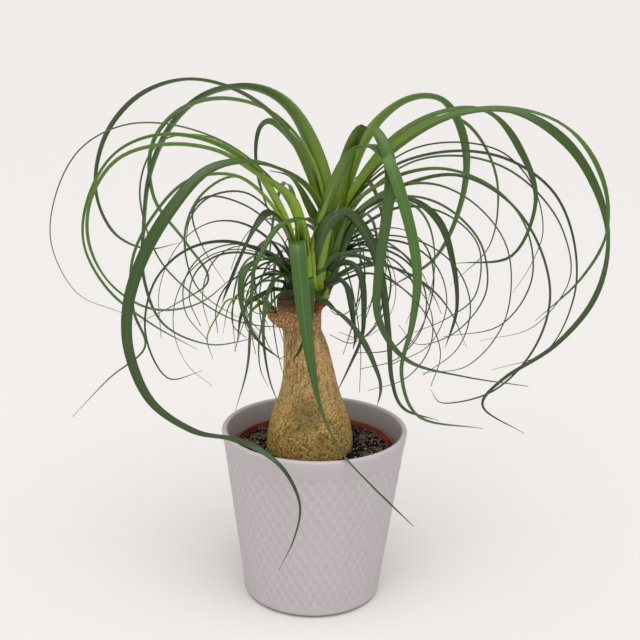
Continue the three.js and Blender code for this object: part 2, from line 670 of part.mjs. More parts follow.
// All leaves. One by rule that would touch another crown's leaf, the pot or the trunk is swung to this side
// and that and shortened until it clears.
function growLeaves() {
  const leaves = [];
  for (const [crown, rows] of Object.entries(laidLeaves)) {
    rows.forEach(([toward, swing, width, turns, rootHeight, route]) => {
      leaves.push({ crown, toward, swing, width, turns, root: rootHeight, route });
    });
  }
  const lines = leaves.map((leaf) => ({ crown: leaf.crown, line: middleLine(leaf) }));
  ruleLeaves.forEach((band, bandIndex) => {
    const { crown, count, from, to } = band;
    const rivals = lines.filter((other) => other.crown !== crown).map((other) => other.line);
    for (let index = 0; index < count; index += 1) {
      const seed = bandIndex * seedStep.band + index * seedStep.leaf;
      const scattered = rule.scatter * (drawFor(seed, 'direction') - 0.5);
      const toward = between([from, to], (index + 0.5) / count) + scattered;
      const length = between(band.length, drawFor(seed, 'length'));
      for (let attempt = 0; attempt < clear.tries; attempt += 1) {
        const swung = clear.swing * Math.ceil(attempt / 2) * (attempt % 2 ? 1 : -1);
        const leaf = ruleLeaf(band, seed, toward + swung, length * clear.shorten ** attempt);
        const line = middleLine(leaf);
        if (clearsHolder(line) && rivals.every((rival) => clearsLeaf(line, rival))) {
          leaves.push(leaf);
          lines.push({ crown, line });
          break;
        }
      }
    }
  });
  return leaves;
}

// Crown: a slim green core that the leaves are sunk into. It stands on its stub with the gap between them.
function crownOf(name, leaves) {
  const rings = crowns[name].core.map(([x, y, z], index) => {
    const seated = index === 0 ? z + GAP : z;
    const level = circle(crowns[name].radii[index], seated, coreSides);
    return level.map((point) => point.add(new THREE.Vector3(x, y, 0)));
  });
  const core = stackRings(rings);
  return joined([core, ...leaves.filter((leaf) => leaf.crown === name).map(blade)]);
}

const plant = new THREE.Group();
const allLeaves = growLeaves();
plant.add(namedMesh('cover_pot', coverPot(), ceramic));
plant.add(namedMesh('nursery_pot', nurseryPot(), terracottaPlastic));
plant.add(namedMesh('potting_soil', pottingSoil(), pottingMix));
plant.add(namedMesh('trunk', trunk(), corkBark));
plant.add(namedMesh('crown_left', crownOf('left', allLeaves), leafGreen));
plant.add(namedMesh('crown_right', crownOf('right', allLeaves), leafGreen));
plant.add(namedMesh('side_shoot', crownOf('side', allLeaves), sideLeafGreen));

export default plant;
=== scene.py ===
import math

import bpy
import numpy as np
from mathutils import Matrix, Vector, noise


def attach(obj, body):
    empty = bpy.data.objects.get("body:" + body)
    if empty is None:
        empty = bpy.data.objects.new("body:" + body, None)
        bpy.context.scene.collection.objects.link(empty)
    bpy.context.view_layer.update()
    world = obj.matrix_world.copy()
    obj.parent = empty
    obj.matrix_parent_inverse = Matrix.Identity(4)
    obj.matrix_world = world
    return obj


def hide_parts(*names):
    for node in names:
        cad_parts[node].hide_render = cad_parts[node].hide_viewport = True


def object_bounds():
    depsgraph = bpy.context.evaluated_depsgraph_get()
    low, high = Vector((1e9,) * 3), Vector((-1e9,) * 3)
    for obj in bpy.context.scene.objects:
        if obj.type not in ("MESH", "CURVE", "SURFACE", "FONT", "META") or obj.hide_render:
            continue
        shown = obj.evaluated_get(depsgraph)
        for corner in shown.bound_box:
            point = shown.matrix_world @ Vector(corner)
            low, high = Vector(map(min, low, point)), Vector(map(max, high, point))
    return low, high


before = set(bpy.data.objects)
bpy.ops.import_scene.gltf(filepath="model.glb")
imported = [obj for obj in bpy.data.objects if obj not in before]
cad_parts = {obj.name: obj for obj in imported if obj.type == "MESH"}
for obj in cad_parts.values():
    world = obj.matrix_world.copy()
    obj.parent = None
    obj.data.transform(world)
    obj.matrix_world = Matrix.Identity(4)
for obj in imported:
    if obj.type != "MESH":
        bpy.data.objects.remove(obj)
cad_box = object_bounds()


# Cover pot: slip-cast stoneware with a matt lilac-grey glaze, flaring to a rounded lip, with a relief of
# tall lozenges pressed between a plain band and a plain foot. It is one skin of rings, the relief raised by
# a formula, and it stands where the CAD pot stands.
MM = 0.001
POT_HEIGHT = 143
POT_RIM_RADIUS = 75
POT_BASE_RADIUS = 55.6
POT_WALL = 4.5
POT_FLOOR = 5
POT_FOOT_ROUND = 9
POT_FLOOR_ROUND = 8
RELIEF_BOTTOM = 5
RELIEF_TOP = 131
RELIEF_DEPTH = 1.2
LOZENGES = 48
LOZENGE_ROWS = 9
RIDGE_SHARPNESS = 3
RIGHT_LINES = 0.7
SIDES_PER_LOZENGE = 9
RINGS_PER_LOZENGE = 12
SMOOTH_STEPS = 10
GLAZE = "#c4bdbf"
# painted highlight: the pale colour laid on the ridges of the relief, where light catches them
GLAZE_RIDGE_HIGHLIGHT = "#cec8c9"
GLAZE_POOLED = "#c0b9bb"
GLAZE_FLECK = "#aba3a6"
# painted shade: darker colour on the inside wall and floor of the pot, graded in from the lip down to
# SHADED_HEIGHT
GLAZE_INSIDE_SHADE = "#9b8f83"
SHADED_HEIGHT = 118
GLAZE_DRIFT = 45 * MM
GLAZE_SPECKLE = 1.1 * MM
GLAZE_UNEVEN = 3 * MM


def linear(hex_colour):
    """A hex sRGB colour as linear RGBA."""
    channels = [int(hex_colour[start:start + 2], 16) / 255 for start in (1, 3, 5)]
    lit = [c / 12.92 if c <= 0.04045 else ((c + 0.055) / 1.055) ** 2.4 for c in channels]
    return (*lit, 1.0)


def socket(sockets, name):
    """A node's socket by its identifier or place, or else by its name."""
    if isinstance(name, int):
        return sockets[name]
    for one in sockets:
        if one.identifier == name:
            return one
    return sockets[name]


def wire(tree, node, links):
    """Gives a node its inputs: values, hex colours as linear ones, and nodes and sockets as links."""
    for name, value in links.items():
        if isinstance(value, str) and value.startswith("#"):
            value = linear(value)
        if isinstance(value, bpy.types.Node):
            value = next(output for output in value.outputs if output.enabled)
        if isinstance(value, bpy.types.NodeSocket):
            tree.links.new(value, socket(node.inputs, name))
        else:
            socket(node.inputs, name).default_value = value


def add(tree, kind, links=None, **settings):
    """Adds a node to a tree, with its own settings and its inputs."""
    node = tree.nodes.new(kind)
    for name, value in settings.items():
        setattr(node, name, value)
    wire(tree, node, links or {})
    return node


def coated(tree, colour, coats):
    """A colour under coats of others: each has its tint, the value that shows it, the span of that value in
    which it comes in, how strong it gets and, where something holds it back, what does."""
    for tint, value, start, end, most, *holds in coats:
        share = add(tree, "ShaderNodeMapRange",
                    {"Value": value, "From Min": start, "From Max": end, "To Max": most})
        for hold in holds:
            share = add(tree, "ShaderNodeMath", {0: share, 1: hold}, operation="MULTIPLY")
        colour = add(tree, "ShaderNodeMix", {"Factor_Float": share, "A_Color": colour, "B_Color": tint},
                     data_type="RGBA")
    return colour


def new_finish(name):
    """An empty material with its tree, its shader and the object coordinates that its patterns use."""
    finish = bpy.data.materials.new(name)
    finish.use_nodes = True
    tree = finish.node_tree
    shader = tree.nodes["Principled BSDF"]
    place = tree.nodes.new("ShaderNodeTexCoord").outputs["Object"]
    return finish, tree, shader, place


def show(name, data):
    """A new object in the scene, at the origin."""
    piece = bpy.data.objects.new(name, data)
    bpy.context.scene.collection.objects.link(piece)
    return piece


def mark(mesh, name, values):
    """Stores a value or a direction for each point of a mesh, for its nodes to read."""
    values = np.array(values, dtype=float)
    kind, field = ("FLOAT_VECTOR", "vector") if values.ndim == 2 else ("FLOAT", "value")
    mesh.attributes.new(name, kind, "POINT").data.foreach_set(field, values.ravel())


def circle(radius, height, sides):
    """Points round the upright axis, counter-clockwise from above, in millimetres."""
    angles = np.arange(sides) * 2 * math.pi / sides
    return np.column_stack([radius * np.cos(angles), radius * np.sin(angles), np.full(sides, height)])


def skin(name, rings):
    """One closed skin over rings of equal length, in millimetres, with a fan over the first and the last."""
    sides = len(rings[0])
    ends = [rings[0].mean(axis=0), rings[-1].mean(axis=0)]
    points = np.vstack([*rings, *ends]) * MM
    faces = []
    for low in range(0, (len(rings) - 1) * sides, sides):
        for side in range(sides):
            beside = (side + 1) % sides
            faces.append((low + side, low + beside, low + beside + sides, low + side + sides))
    last = (len(rings) - 1) * sides
    foot = len(points) - 2
    head = len(points) - 1
    for side in range(sides):
        beside = (side + 1) % sides
        faces.append((foot, beside, side))
        faces.append((head, last + side, last + beside))
    mesh = bpy.data.meshes.new(name)
    mesh.from_pydata(points.tolist(), [], faces)
    mesh.shade_smooth()
    return show(name, mesh)


def rounded(centre, radius, start, end, steps):
    """Points of an arc in a profile of [radius, height], from one angle in degrees to another."""
    angles = np.radians(np.linspace(start, end, steps + 1))
    return [[centre[0] + radius * math.cos(a), centre[1] + radius * math.sin(a)] for a in angles]


def pot_wall(height):
    """Outer radius of the cover pot's plain wall at a height."""
    return POT_BASE_RADIUS + (POT_RIM_RADIUS - POT_BASE_RADIUS) * height / POT_HEIGHT


def build_cover_pot():
    sides = LOZENGES * SIDES_PER_LOZENGE
    foot_middle = [pot_wall(RELIEF_BOTTOM) - POT_FOOT_ROUND, RELIEF_BOTTOM]
    profile = rounded(foot_middle, POT_FOOT_ROUND, -90, 0, SMOOTH_STEPS)
    squash = RELIEF_BOTTOM / POT_FOOT_ROUND
    profile = [[radius, RELIEF_BOTTOM + (height - RELIEF_BOTTOM) * squash] for radius, height in profile]
    rings = [circle(radius, height, sides) for radius, height in profile]
    ridge = [np.zeros(sides)] * len(rings)
    rows = LOZENGE_ROWS * RINGS_PER_LOZENGE
    around = np.arange(sides) / SIDES_PER_LOZENGE
    for row in range(1, rows):
        height = RELIEF_BOTTOM + (RELIEF_TOP - RELIEF_BOTTOM) * row / rows
        up = row / RINGS_PER_LOZENGE
        left_lines = np.abs(2 * ((around + up) % 1) - 1) ** RIDGE_SHARPNESS
        right_lines = np.abs(2 * ((around - up) % 1) - 1) ** RIDGE_SHARPNESS
        sunk = (1 - left_lines) * (1 - RIGHT_LINES * right_lines)
        fade = min(1, 2 * row / RINGS_PER_LOZENGE, 2 * (rows - row) / RINGS_PER_LOZENGE)
        ridge.append((1 - sunk) * fade)
        rings.append(circle(pot_wall(height), height, sides))
        rings[-1][:, :2] *= (1 - RELIEF_DEPTH * sunk * fade / pot_wall(height))[:, None]
    lip = POT_WALL / 2
    inside = rounded([POT_RIM_RADIUS - lip, POT_HEIGHT - lip], lip, 0, 180, 2 * SMOOTH_STEPS)
    corner = pot_wall(POT_FLOOR + POT_FLOOR_ROUND) - POT_WALL
    inside = [[pot_wall(RELIEF_TOP), RELIEF_TOP]] + inside
    inside += [[pot_wall(SHADED_HEIGHT) - POT_WALL, SHADED_HEIGHT]]
    inside += rounded([corner - POT_FLOOR_ROUND, POT_FLOOR + POT_FLOOR_ROUND], POT_FLOOR_ROUND, 0, -90,
                      SMOOTH_STEPS)
    rings += [circle(radius, height, sides) for radius, height in inside]
    ridge += [np.zeros(sides)] * len(inside)
    pot = skin("cover_pot_glazed", rings)
    # painted shade inside the pot: the ring at SHADED_HEIGHT and the rings of the floor take the darker
    # colour in full
    inside_shade = np.zeros(len(pot.data.vertices))
    inside_shade[-2 - (SMOOTH_STEPS + 2) * sides:-2] = 1
    mark(pot.data, "ridge", np.concatenate([*ridge, [0, 0]]))
    mark(pot.data, "inside_shade", inside_shade)
    return pot


# The glaze is matt, so it scatters a wide soft light. A pale painted highlight lies on the net of ridges and
# the lozenges stay a little darker, with a fine speckle and a skin that is faintly uneven to the touch.
# Inside, the wall grows darker from the lip down to a painted shade on the lower wall and the floor.
def matt_glaze():
    finish, tree, shader, place = new_finish("matt lilac-grey stoneware glaze")
    net, inside_shade = [add(tree, "ShaderNodeAttribute", attribute_name=name).outputs["Fac"]
                   for name in ("ridge", "inside_shade")]
    drift, speckle, uneven = [
        add(tree, "ShaderNodeTexNoise", {"Vector": place, "Scale": 1 / size, "Detail": detail})
        for size, detail in ((GLAZE_DRIFT, 3.0), (GLAZE_SPECKLE, 1.0), (GLAZE_UNEVEN, 2.0))]
    colour = coated(tree, GLAZE_POOLED, [
        (GLAZE, drift, 0.0, 1.0, 1.0),
        # painted highlight on the ridges of the relief
        (GLAZE_RIDGE_HIGHLIGHT, net, 0.45, 0.95, 1.0),
        (GLAZE_FLECK, speckle, 0.62, 0.74, 0.35),
        # painted shade on the inside wall and floor of the pot
        (GLAZE_INSIDE_SHADE, inside_shade, 0.0, 1.0, 1.0),
    ])
    dull = add(tree, "ShaderNodeMapRange", {"Value": drift, "To Min": 0.46, "To Max": 0.6})
    bump = add(tree, "ShaderNodeBump", {"Height": uneven, "Strength": 0.12, "Distance": 0.4 * MM})
    wire(tree, shader, {"Base Color": colour, "Roughness": dull, "Normal": bump})
    return finish


cover_pot = build_cover_pot()
cover_pot.data.materials.append(matt_glaze())
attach(cover_pot, "root")
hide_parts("cover_pot")


# Nursery pot: thin terracotta-coloured polypropylene, injection moulded, with a stepped rim band, a bead
# along its edge and round holes in the floor. It stands inside the cover pot, on the CAD pot's own foot.
NURSERY_RIM_HEIGHT = 128
NURSERY_RIM_RADIUS = 65
NURSERY_BAND = 9
NURSERY_LEAN = 0.4
NURSERY_BODY_RADIUS = 63
NURSERY_BASE_RADIUS = 47
NURSERY_WALL = 1.4
NURSERY_FLOOR = 1.6
NURSERY_BOTTOM = 5.3
NURSERY_SIDES = 144
NURSERY_FOOT_ROUND = 2
NURSERY_FLOOR_ROUND = 1.5
NURSERY_STEP = 0.3
NURSERY_STEP_ROUND = 0.6
NURSERY_SHARP = 38
DRAIN_HOLES = 8
DRAIN_RADIUS = 3.5
DRAIN_CIRCLE = 34
DRAIN_SIDES = 32
DRAIN_DEPTHS = (2, 12)
TERRACOTTA = "#9c4d36"
TERRACOTTA_DARK = "#6f3020"
DAMP_PATCH = 20 * MM
PLASTIC_GRAIN = 1.2 * MM


def build_nursery_pot():
    band_bottom = NURSERY_RIM_HEIGHT - NURSERY_BAND
    bead = NURSERY_WALL / 2
    foot = NURSERY_FOOT_ROUND
    step = NURSERY_STEP
    turn = NURSERY_STEP_ROUND
    corner = NURSERY_FLOOR_ROUND
    outside = rounded([NURSERY_BASE_RADIUS - foot, NURSERY_BOTTOM + foot], foot, -90, 0, 4)
    outside += [[NURSERY_BODY_RADIUS, band_bottom - 2 * step], [NURSERY_BODY_RADIUS + step, band_bottom]]
    outside += rounded([NURSERY_RIM_RADIUS - NURSERY_LEAN - turn, band_bottom + turn + step], turn,
                       -90, 0, 3)
    rim = rounded([NURSERY_RIM_RADIUS - bead, NURSERY_RIM_HEIGHT - bead], bead, 0, 180, 8)
    inner_rim = NURSERY_RIM_RADIUS - NURSERY_WALL
    inner_body = NURSERY_BODY_RADIUS - NURSERY_WALL
    inner_base = NURSERY_BASE_RADIUS - NURSERY_WALL
    inside = [[inner_rim - NURSERY_LEAN, band_bottom + 2 * turn], [inner_body + step, band_bottom - 0.4]]
    inside += [[inner_body, band_bottom - 2 * turn]]
    inside += rounded([inner_base - corner, NURSERY_BOTTOM + NURSERY_FLOOR + corner], corner, 0, -90, 4)
    rings = [circle(radius, height, NURSERY_SIDES) for radius, height in outside + rim + inside]
    pot = skin("nursery_pot_moulded", rings)
    drills = []
    for hole in range(DRAIN_HOLES):
        angle = hole * 2 * math.pi / DRAIN_HOLES
        drill = skin("drain_drill", [circle(DRAIN_RADIUS, height, DRAIN_SIDES) for height in DRAIN_DEPTHS])
        middle = Vector((DRAIN_CIRCLE * math.cos(angle), DRAIN_CIRCLE * math.sin(angle), 0)) * MM
        drill.data.transform(Matrix.Translation(middle))
        cut = pot.modifiers.new("drain", "BOOLEAN")
        cut.operation = "DIFFERENCE"
        cut.object = drill
        drills.append(drill)
    settle(pot)
    for drill in drills:
        bpy.data.objects.remove(drill)
    pot.data.shade_smooth()
    pot.data.set_sharp_from_angle(angle=math.radians(NURSERY_SHARP))
    return pot


def settle(piece):
    """Turns what a piece's modifiers make into its own plain mesh."""
    bpy.context.view_layer.update()
    seen = piece.evaluated_get(bpy.context.evaluated_depsgraph_get())
    mesh = bpy.data.meshes.new_from_object(seen)
    mesh.name = piece.name
    piece.modifiers.clear()
    piece.data = mesh
    return piece


# Moulded polypropylene has a low waxy gloss. It is a little darker in patches where it stays damp, and
# duller where limescale from watering has dried on it.
def terracotta_plastic():
    finish, tree, shader, place = new_finish("terracotta polypropylene")
    damp, grain = [
        add(tree, "ShaderNodeTexNoise", {"Vector": place, "Scale": 1 / size, "Detail": detail})
        for size, detail in ((DAMP_PATCH, 4.0), (PLASTIC_GRAIN, 2.0))]
    colour = coated(tree, TERRACOTTA_DARK, [(TERRACOTTA, damp, 0.42, 0.62, 1.0)])
    dull = add(tree, "ShaderNodeMapRange", {"Value": damp, "To Min": 0.42, "To Max": 0.6})
    bump = add(tree, "ShaderNodeBump", {"Height": grain, "Strength": 0.15, "Distance": 0.3 * MM})
    wire(tree, shader, {"Base Color": colour, "Roughness": dull, "Normal": bump})
    return finish


nursery_pot = build_nursery_pot()
nursery_pot.data.materials.clear()
nursery_pot.data.materials.append(terracotta_plastic())
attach(nursery_pot, "root")
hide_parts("nursery_pot")


# Potting mix: dark peat and bark fines, loosely filled to just under the nursery pot's rim and a little
# higher round the bulb. The body is one skin with a plain hole for the bulb, and crumbs, perlite and fibres
# lie on it.
SOIL_EDGE = 124.5
SOIL_MOUND = 126
SOIL_GAP = 0.3
SOIL_SIDES = 180
SOIL_RINGS = 34
SOIL_START = 0.02
SOIL_RISE = 1.6
SOIL_UNEVEN = [[9, 1.3], [2.6, 0.9]]
ROUGH_SHIFT = (7.3, 3.1, 5.7)
TRUNK_STATIONS = [
    [92, -3, 17], [98, -3, 25.5], [107, -3, 31], [118, -3.4, 34], [131, -3.8, 34.8], [142, -4.2, 33.4],
    [153, -4.6, 30.6], [166, -4.6, 26.4], [178, -4.8, 23], [190, -5.4, 20.6], [203, -6.9, 18.8],
    [216, -8.8, 17.2], [226, -11.2, 15.4], [234, -11.8, 15.6], [240, -12, 15.6], [243, -12, 14.8],
]
TRUNK_DEPTH = -3
TRUNK_LUMPS = [[3, 0.028, 0.045], [5, 0.014, -0.08]]
PEAT = "#060403"
PEAT_DRY = "#18110d"
PEAT_FLECK = "#857a6c"
PEAT_PATCH = 4 * MM
PEAT_GRIT = 0.9 * MM
PERLITE = "#c9c6bd"
PERLITE_STAINED = "#8d8577"
PERLITE_FROTH = 0.5 * MM
FIBRE = "#a58d6c"
FIBRE_DARK = "#6b5238"
FIBRE_DRIFT = 12 * MM


def trunk_ring(station, wider, sides):
    """One ring of the trunk, a little lumpy, and wider by a gap where it is the hole in the soil."""
    height, sideways, radius = station
    ring = circle(1, height, sides)
    angle = np.arctan2(ring[:, 1], ring[:, 0])
    lump = sum(rise * np.sin(waves * angle + turn * height) for waves, rise, turn in TRUNK_LUMPS)
    reach = radius * (1 + lump) + wider
    return np.column_stack([sideways + ring[:, 0] * reach, TRUNK_DEPTH + ring[:, 1] * reach, ring[:, 2]])


def rough(points, size, rise, seed):
    """Fractal unevenness at points, over a size and to a height in millimetres."""
    shift = Vector([seed * part for part in ROUGH_SHIFT])
    return np.array([rise * noise.fractal(Vector(point) / size + shift, 0.9, 2.0, 3) for point in points])


def build_soil():
    bottom = NURSERY_BOTTOM + NURSERY_FLOOR + SOIL_GAP
    low_radius = NURSERY_BASE_RADIUS - NURSERY_WALL - 2 * SOIL_GAP
    body_radius = NURSERY_BODY_RADIUS - NURSERY_WALL - 2 * SOIL_GAP
    shelf = NURSERY_RIM_HEIGHT - NURSERY_BAND - 1
    outside = circle(body_radius, shelf, SOIL_SIDES)
    buried = [station for station in TRUNK_STATIONS if station[0] < SOIL_MOUND]
    above = TRUNK_STATIONS[len(buried)]
    share = (SOIL_MOUND - buried[-1][0]) / (above[0] - buried[-1][0])
    collar = [low + (high - low) * share for low, high in zip(buried[-1], above)]
    hole = trunk_ring(collar, SOIL_GAP, SOIL_SIDES)
    rings = [circle(low_radius, bottom, SOIL_SIDES), outside]
    for step in range(1, SOIL_RINGS):
        inward = SOIL_START + (1 - SOIL_START) * step / SOIL_RINGS
        ring = outside + (hole - outside) * inward
        ring[:, 2] = SOIL_EDGE + (SOIL_MOUND - SOIL_EDGE) * inward ** SOIL_RISE
        ring[:, 2] += sum(rough(ring, size, rise, seed) for seed, (size, rise) in enumerate(SOIL_UNEVEN, 1))
        rings.append(ring)
    rings.append(hole)
    rings += [trunk_ring(station, SOIL_GAP, SOIL_SIDES) for station in reversed(buried)]
    rings[-1][:, 2] -= SOIL_GAP
    return skin("potting_mix", rings)


def geometry_tree(name, sizes):
    """A Geometry Nodes tree with a geometry, named sizes of its own and a material as inputs."""
    tree = bpy.data.node_groups.new(name, "GeometryNodeTree")
    tree.interface.new_socket("Geometry", in_out="INPUT", socket_type="NodeSocketGeometry")
    tree.interface.new_socket("Geometry", in_out="OUTPUT", socket_type="NodeSocketGeometry")
    for size, value in sizes.items():
        kind = "NodeSocketInt" if isinstance(value, int) else "NodeSocketFloat"
        one = tree.interface.new_socket(size, in_out="INPUT", socket_type=kind)
        one.default_value = value
    tree.interface.new_socket("Material", in_out="INPUT", socket_type="NodeSocketMaterial")
    return tree, tree.nodes.new("NodeGroupInput").outputs


def close_tree(tree, geometry, given):
    """Ends a tree as plain mesh with its material."""
    real = add(tree, "GeometryNodeRealizeInstances", {"Geometry": geometry})
    dressed = add(tree, "GeometryNodeSetMaterial", {"Geometry": real, "Material": given["Material"]})
    add(tree, "NodeGroupOutput", {"Geometry": dressed})


def run_tree(piece, tree, **inputs):
    """Runs a tree on a piece with its inputs, and keeps what it makes as the piece's own mesh."""
    modifier = piece.modifiers.new(tree.name, "NODES")
    modifier.node_group = tree
    for item in tree.interface.items_tree:
        name = item.name.lower().replace(" ", "_")
        if item.in_out == "INPUT" and name in inputs:
            modifier[item.identifier] = inputs[name]
    return settle(piece)


# Crumbs are many-sided lumps scattered over the soil's upward faces, each turned and stretched at random.
def scatter_tree():
    sizes = {"Per Square Metre": 1.0, "Smallest": 1 * MM, "Largest": 2 * MM, "Seed": 1}
    tree, given = geometry_tree("scatter lumps", sizes)
    normal = add(tree, "ShaderNodeSeparateXYZ", {"Vector": tree.nodes.new("GeometryNodeInputNormal")})
    height = add(tree, "ShaderNodeSeparateXYZ", {"Vector": tree.nodes.new("GeometryNodeInputPosition")})
    facing_up = add(tree, "FunctionNodeCompare", {"A": normal.outputs["Z"], "B": 0.3},
                    operation="GREATER_THAN")
    on_top = add(tree, "FunctionNodeCompare", {"A": height.outputs["Z"], "B": (SOIL_EDGE - 3) * MM},
                 operation="GREATER_THAN")
    both = add(tree, "FunctionNodeBooleanMath", {0: facing_up, 1: on_top}, operation="AND")
    points = add(tree, "GeometryNodeDistributePointsOnFaces",
                 {"Mesh": given["Geometry"], "Selection": both, "Density": given["Per Square Metre"],
                  "Seed": given["Seed"]})
    lump = add(tree, "GeometryNodeMeshIcoSphere", {"Radius": 0.5, "Subdivisions": 1})
    turn = add(tree, "FunctionNodeRandomValue", {"Max": (6.28, 6.28, 6.28), "Seed": given["Seed"]},
               data_type="FLOAT_VECTOR")
    small = add(tree, "ShaderNodeCombineXYZ", {axis: given["Smallest"] for axis in "XYZ"})
    large = add(tree, "ShaderNodeCombineXYZ", {axis: given["Largest"] for axis in "XYZ"})
    size = add(tree, "FunctionNodeRandomValue", {"Min": small, "Max": large, "Seed": given["Seed"]},
               data_type="FLOAT_VECTOR")
    lumps = add(tree, "GeometryNodeInstanceOnPoints",
                {"Points": points.outputs["Points"], "Instance": lump.outputs["Mesh"], "Rotation": turn,
                 "Scale": size})
    tone = add(tree, "FunctionNodeRandomValue", {"Seed": given["Seed"]}, data_type="FLOAT")
    toned = add(tree, "GeometryNodeStoreNamedAttribute", {"Geometry": lumps, "Name": "tone", "Value": tone},
                data_type="FLOAT", domain="INSTANCE")
    close_tree(tree, toned, given)
    return tree


# Peat is nearly black when moist and browner where its crumbs have dried, and nothing in it shines.
def peat():
    finish, tree, shader, place = new_finish("moist peat and bark fines")
    patch, grit = [
        add(tree, "ShaderNodeTexNoise", {"Vector": place, "Scale": 1 / size, "Detail": detail})
        for size, detail in ((PEAT_PATCH, 4.0), (PEAT_GRIT, 3.0))]
    tone = add(tree, "ShaderNodeAttribute", attribute_name="tone").outputs["Fac"]
    colour = coated(tree, PEAT, [(PEAT_DRY, patch, 0.45, 0.7, 1.0), (PEAT_FLECK, tone, 0.86, 0.97, 0.9)])
    shader.inputs["Roughness"].default_value = 0.95
    shader.inputs["Specular IOR Level"].default_value = 0.25
    bump = add(tree, "ShaderNodeBump", {"Height": grit, "Strength": 0.7, "Distance": 0.6 * MM})
    wire(tree, shader, {"Base Color": colour, "Normal": bump})
    return finish


# Perlite is expanded volcanic glass: chalky off-white grains, stained by the peat they lie in.
def perlite():
    finish, tree, shader, place = new_finish("stained perlite")
    tone = add(tree, "ShaderNodeAttribute", attribute_name="tone").outputs["Fac"]
    colour = coated(tree, PERLITE_STAINED, [(PERLITE, tone, 0.0, 1.0, 1.0)])
    shader.inputs["Roughness"].default_value = 0.9
    froth = add(tree, "ShaderNodeTexNoise", {"Vector": place, "Scale": 1 / PERLITE_FROTH, "Detail": 2.0})
    bump = add(tree, "ShaderNodeBump", {"Height": froth, "Strength": 0.6, "Distance": 0.3 * MM})
    wire(tree, shader, {"Base Color": colour, "Normal": bump})
    return finish


def centre_lines(name, lines, **values):
    """A mesh of bare lines in millimetres, with values of the same length as its points as attributes."""
    points = np.vstack(lines) * MM
    edges = []
    start = 0
    for line in lines:
        edges += [(start + step, start + step + 1) for step in range(len(line) - 1)]
        start += len(line)
    mesh = bpy.data.meshes.new(name)
    mesh.from_pydata(points.tolist(), edges, [])
    for value_name, parts in values.items():
        mark(mesh, value_name, np.concatenate(parts))
    return show(name, mesh)


# A thread is a few-sided tube along a line, thinning as its own half attribute does.
def thread_tree():
    tree, given = geometry_tree("threads along lines", {"Sides": 4})
    half = add(tree, "GeometryNodeInputNamedAttribute", {"Name": "half"}, data_type="FLOAT")
    curve = add(tree, "GeometryNodeMeshToCurve", {"Mesh": given["Geometry"]})
    ring = add(tree, "GeometryNodeCurvePrimitiveCircle", {"Resolution": given["Sides"], "Radius": 1.0})
    tube = add(tree, "GeometryNodeCurveToMesh",
               {"Curve": curve, "Profile Curve": ring.outputs["Curve"], "Scale": half.outputs["Attribute"],
                "Fill Caps": True})
    close_tree(tree, tube, given)
    return tree


# Dry root and peat fibre is matt and straw-brown, darker along the stretches that soil clings to.
def fibre_finish():
    finish, tree, shader, place = new_finish("dry root and peat fibre")
    drift = add(tree, "ShaderNodeTexNoise", {"Vector": place, "Scale": 1 / FIBRE_DRIFT, "Detail": 2.0})
    colour = coated(tree, FIBRE_DARK, [(FIBRE, drift, 0.0, 1.0, 1.0)])
    shader.inputs["Roughness"].default_value = 0.8
    wire(tree, shader, {"Base Color": colour})
    return finish


FIBRE_COUNT = 150
FIBRE_SEED = 11
FIBRE_REACH = (40, 58)
FIBRE_ZONE = (36, 60)
FIBRE_LIMITS = (37, 60.5)
FIBRE_MIDDLE = -4
FIBRE_STEPS = (5, 12)
FIBRE_STEP = 1.5
FIBRE_HALF = (0.12, 0.28)
FIBRE_LIFT = (0.7, 1.6)
FIBRE_FALL = 0.6
FIBRE_CURL = (-0.5, 0.5)
FIBRE_WANDER = (-0.35, 0.35)


def share_of(limits, value):
    """How far a value lies from one limit to the other, held between 0 and 1."""
    return min(max((value - limits[0]) / (limits[1] - limits[0]), 0), 1)


def soil_fibres():
    """Lines of short curly fibres that lie on the soil between the bulb and the pot."""
    luck = np.random.default_rng(FIBRE_SEED)
    lines = []
    halves = []
    while len(lines) < FIBRE_COUNT:
        angle = luck.uniform(0, 2 * math.pi)
        reach = luck.uniform(*FIBRE_REACH)
        heading = luck.uniform(0, 2 * math.pi)
        at = np.array([reach * math.cos(angle), TRUNK_DEPTH + reach * math.sin(angle), 0.0])
        steps = luck.integers(*FIBRE_STEPS)
        curl = luck.uniform(*FIBRE_CURL)
        line = []
        for step in range(steps):
            share = share_of(FIBRE_ZONE, math.hypot(at[0], at[1]))
            level = SOIL_MOUND + (SOIL_EDGE - SOIL_MOUND) * share ** FIBRE_FALL
            level += FIBRE_LIFT[0] + FIBRE_LIFT[1] * math.sin(math.pi * step / (steps - 1))
            line.append([at[0], at[1], level])
            heading += curl + luck.uniform(*FIBRE_WANDER)
            at += FIBRE_STEP * np.array([math.cos(heading), math.sin(heading), 0])
        line = np.array(line)
        far = np.hypot(line[:, 0], line[:, 1]).max()
        near = np.hypot(line[:, 0] - FIBRE_MIDDLE, line[:, 1] - TRUNK_DEPTH).min()
        if far < FIBRE_LIMITS[1] and near > FIBRE_LIMITS[0]:
            lines.append(line)
            halves.append(np.full(steps, luck.uniform(*FIBRE_HALF) * MM))
    return centre_lines("soil_fibres", lines, half=halves)


peat_finish = peat()
potting_mix = build_soil()
crumbs, grains = [show(name, potting_mix.data.copy()) for name in ("soil_crumbs", "perlite_grains")]
potting_mix.data.materials.append(peat_finish)
scatter = scatter_tree()
run_tree(crumbs, scatter, per_square_metre=420000.0, smallest=0.8 * MM, largest=2.6 * MM, seed=3,
         material=peat_finish)
run_tree(grains, scatter, per_square_metre=60000.0, smallest=0.7 * MM, largest=1.9 * MM, seed=8,
         material=perlite())
threads = thread_tree()
fibres = soil_fibres()
run_tree(fibres, threads, sides=4, material=fibre_finish())
for piece in (potting_mix, crumbs, grains, fibres):
    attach(piece, "root")
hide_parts("potting_soil")


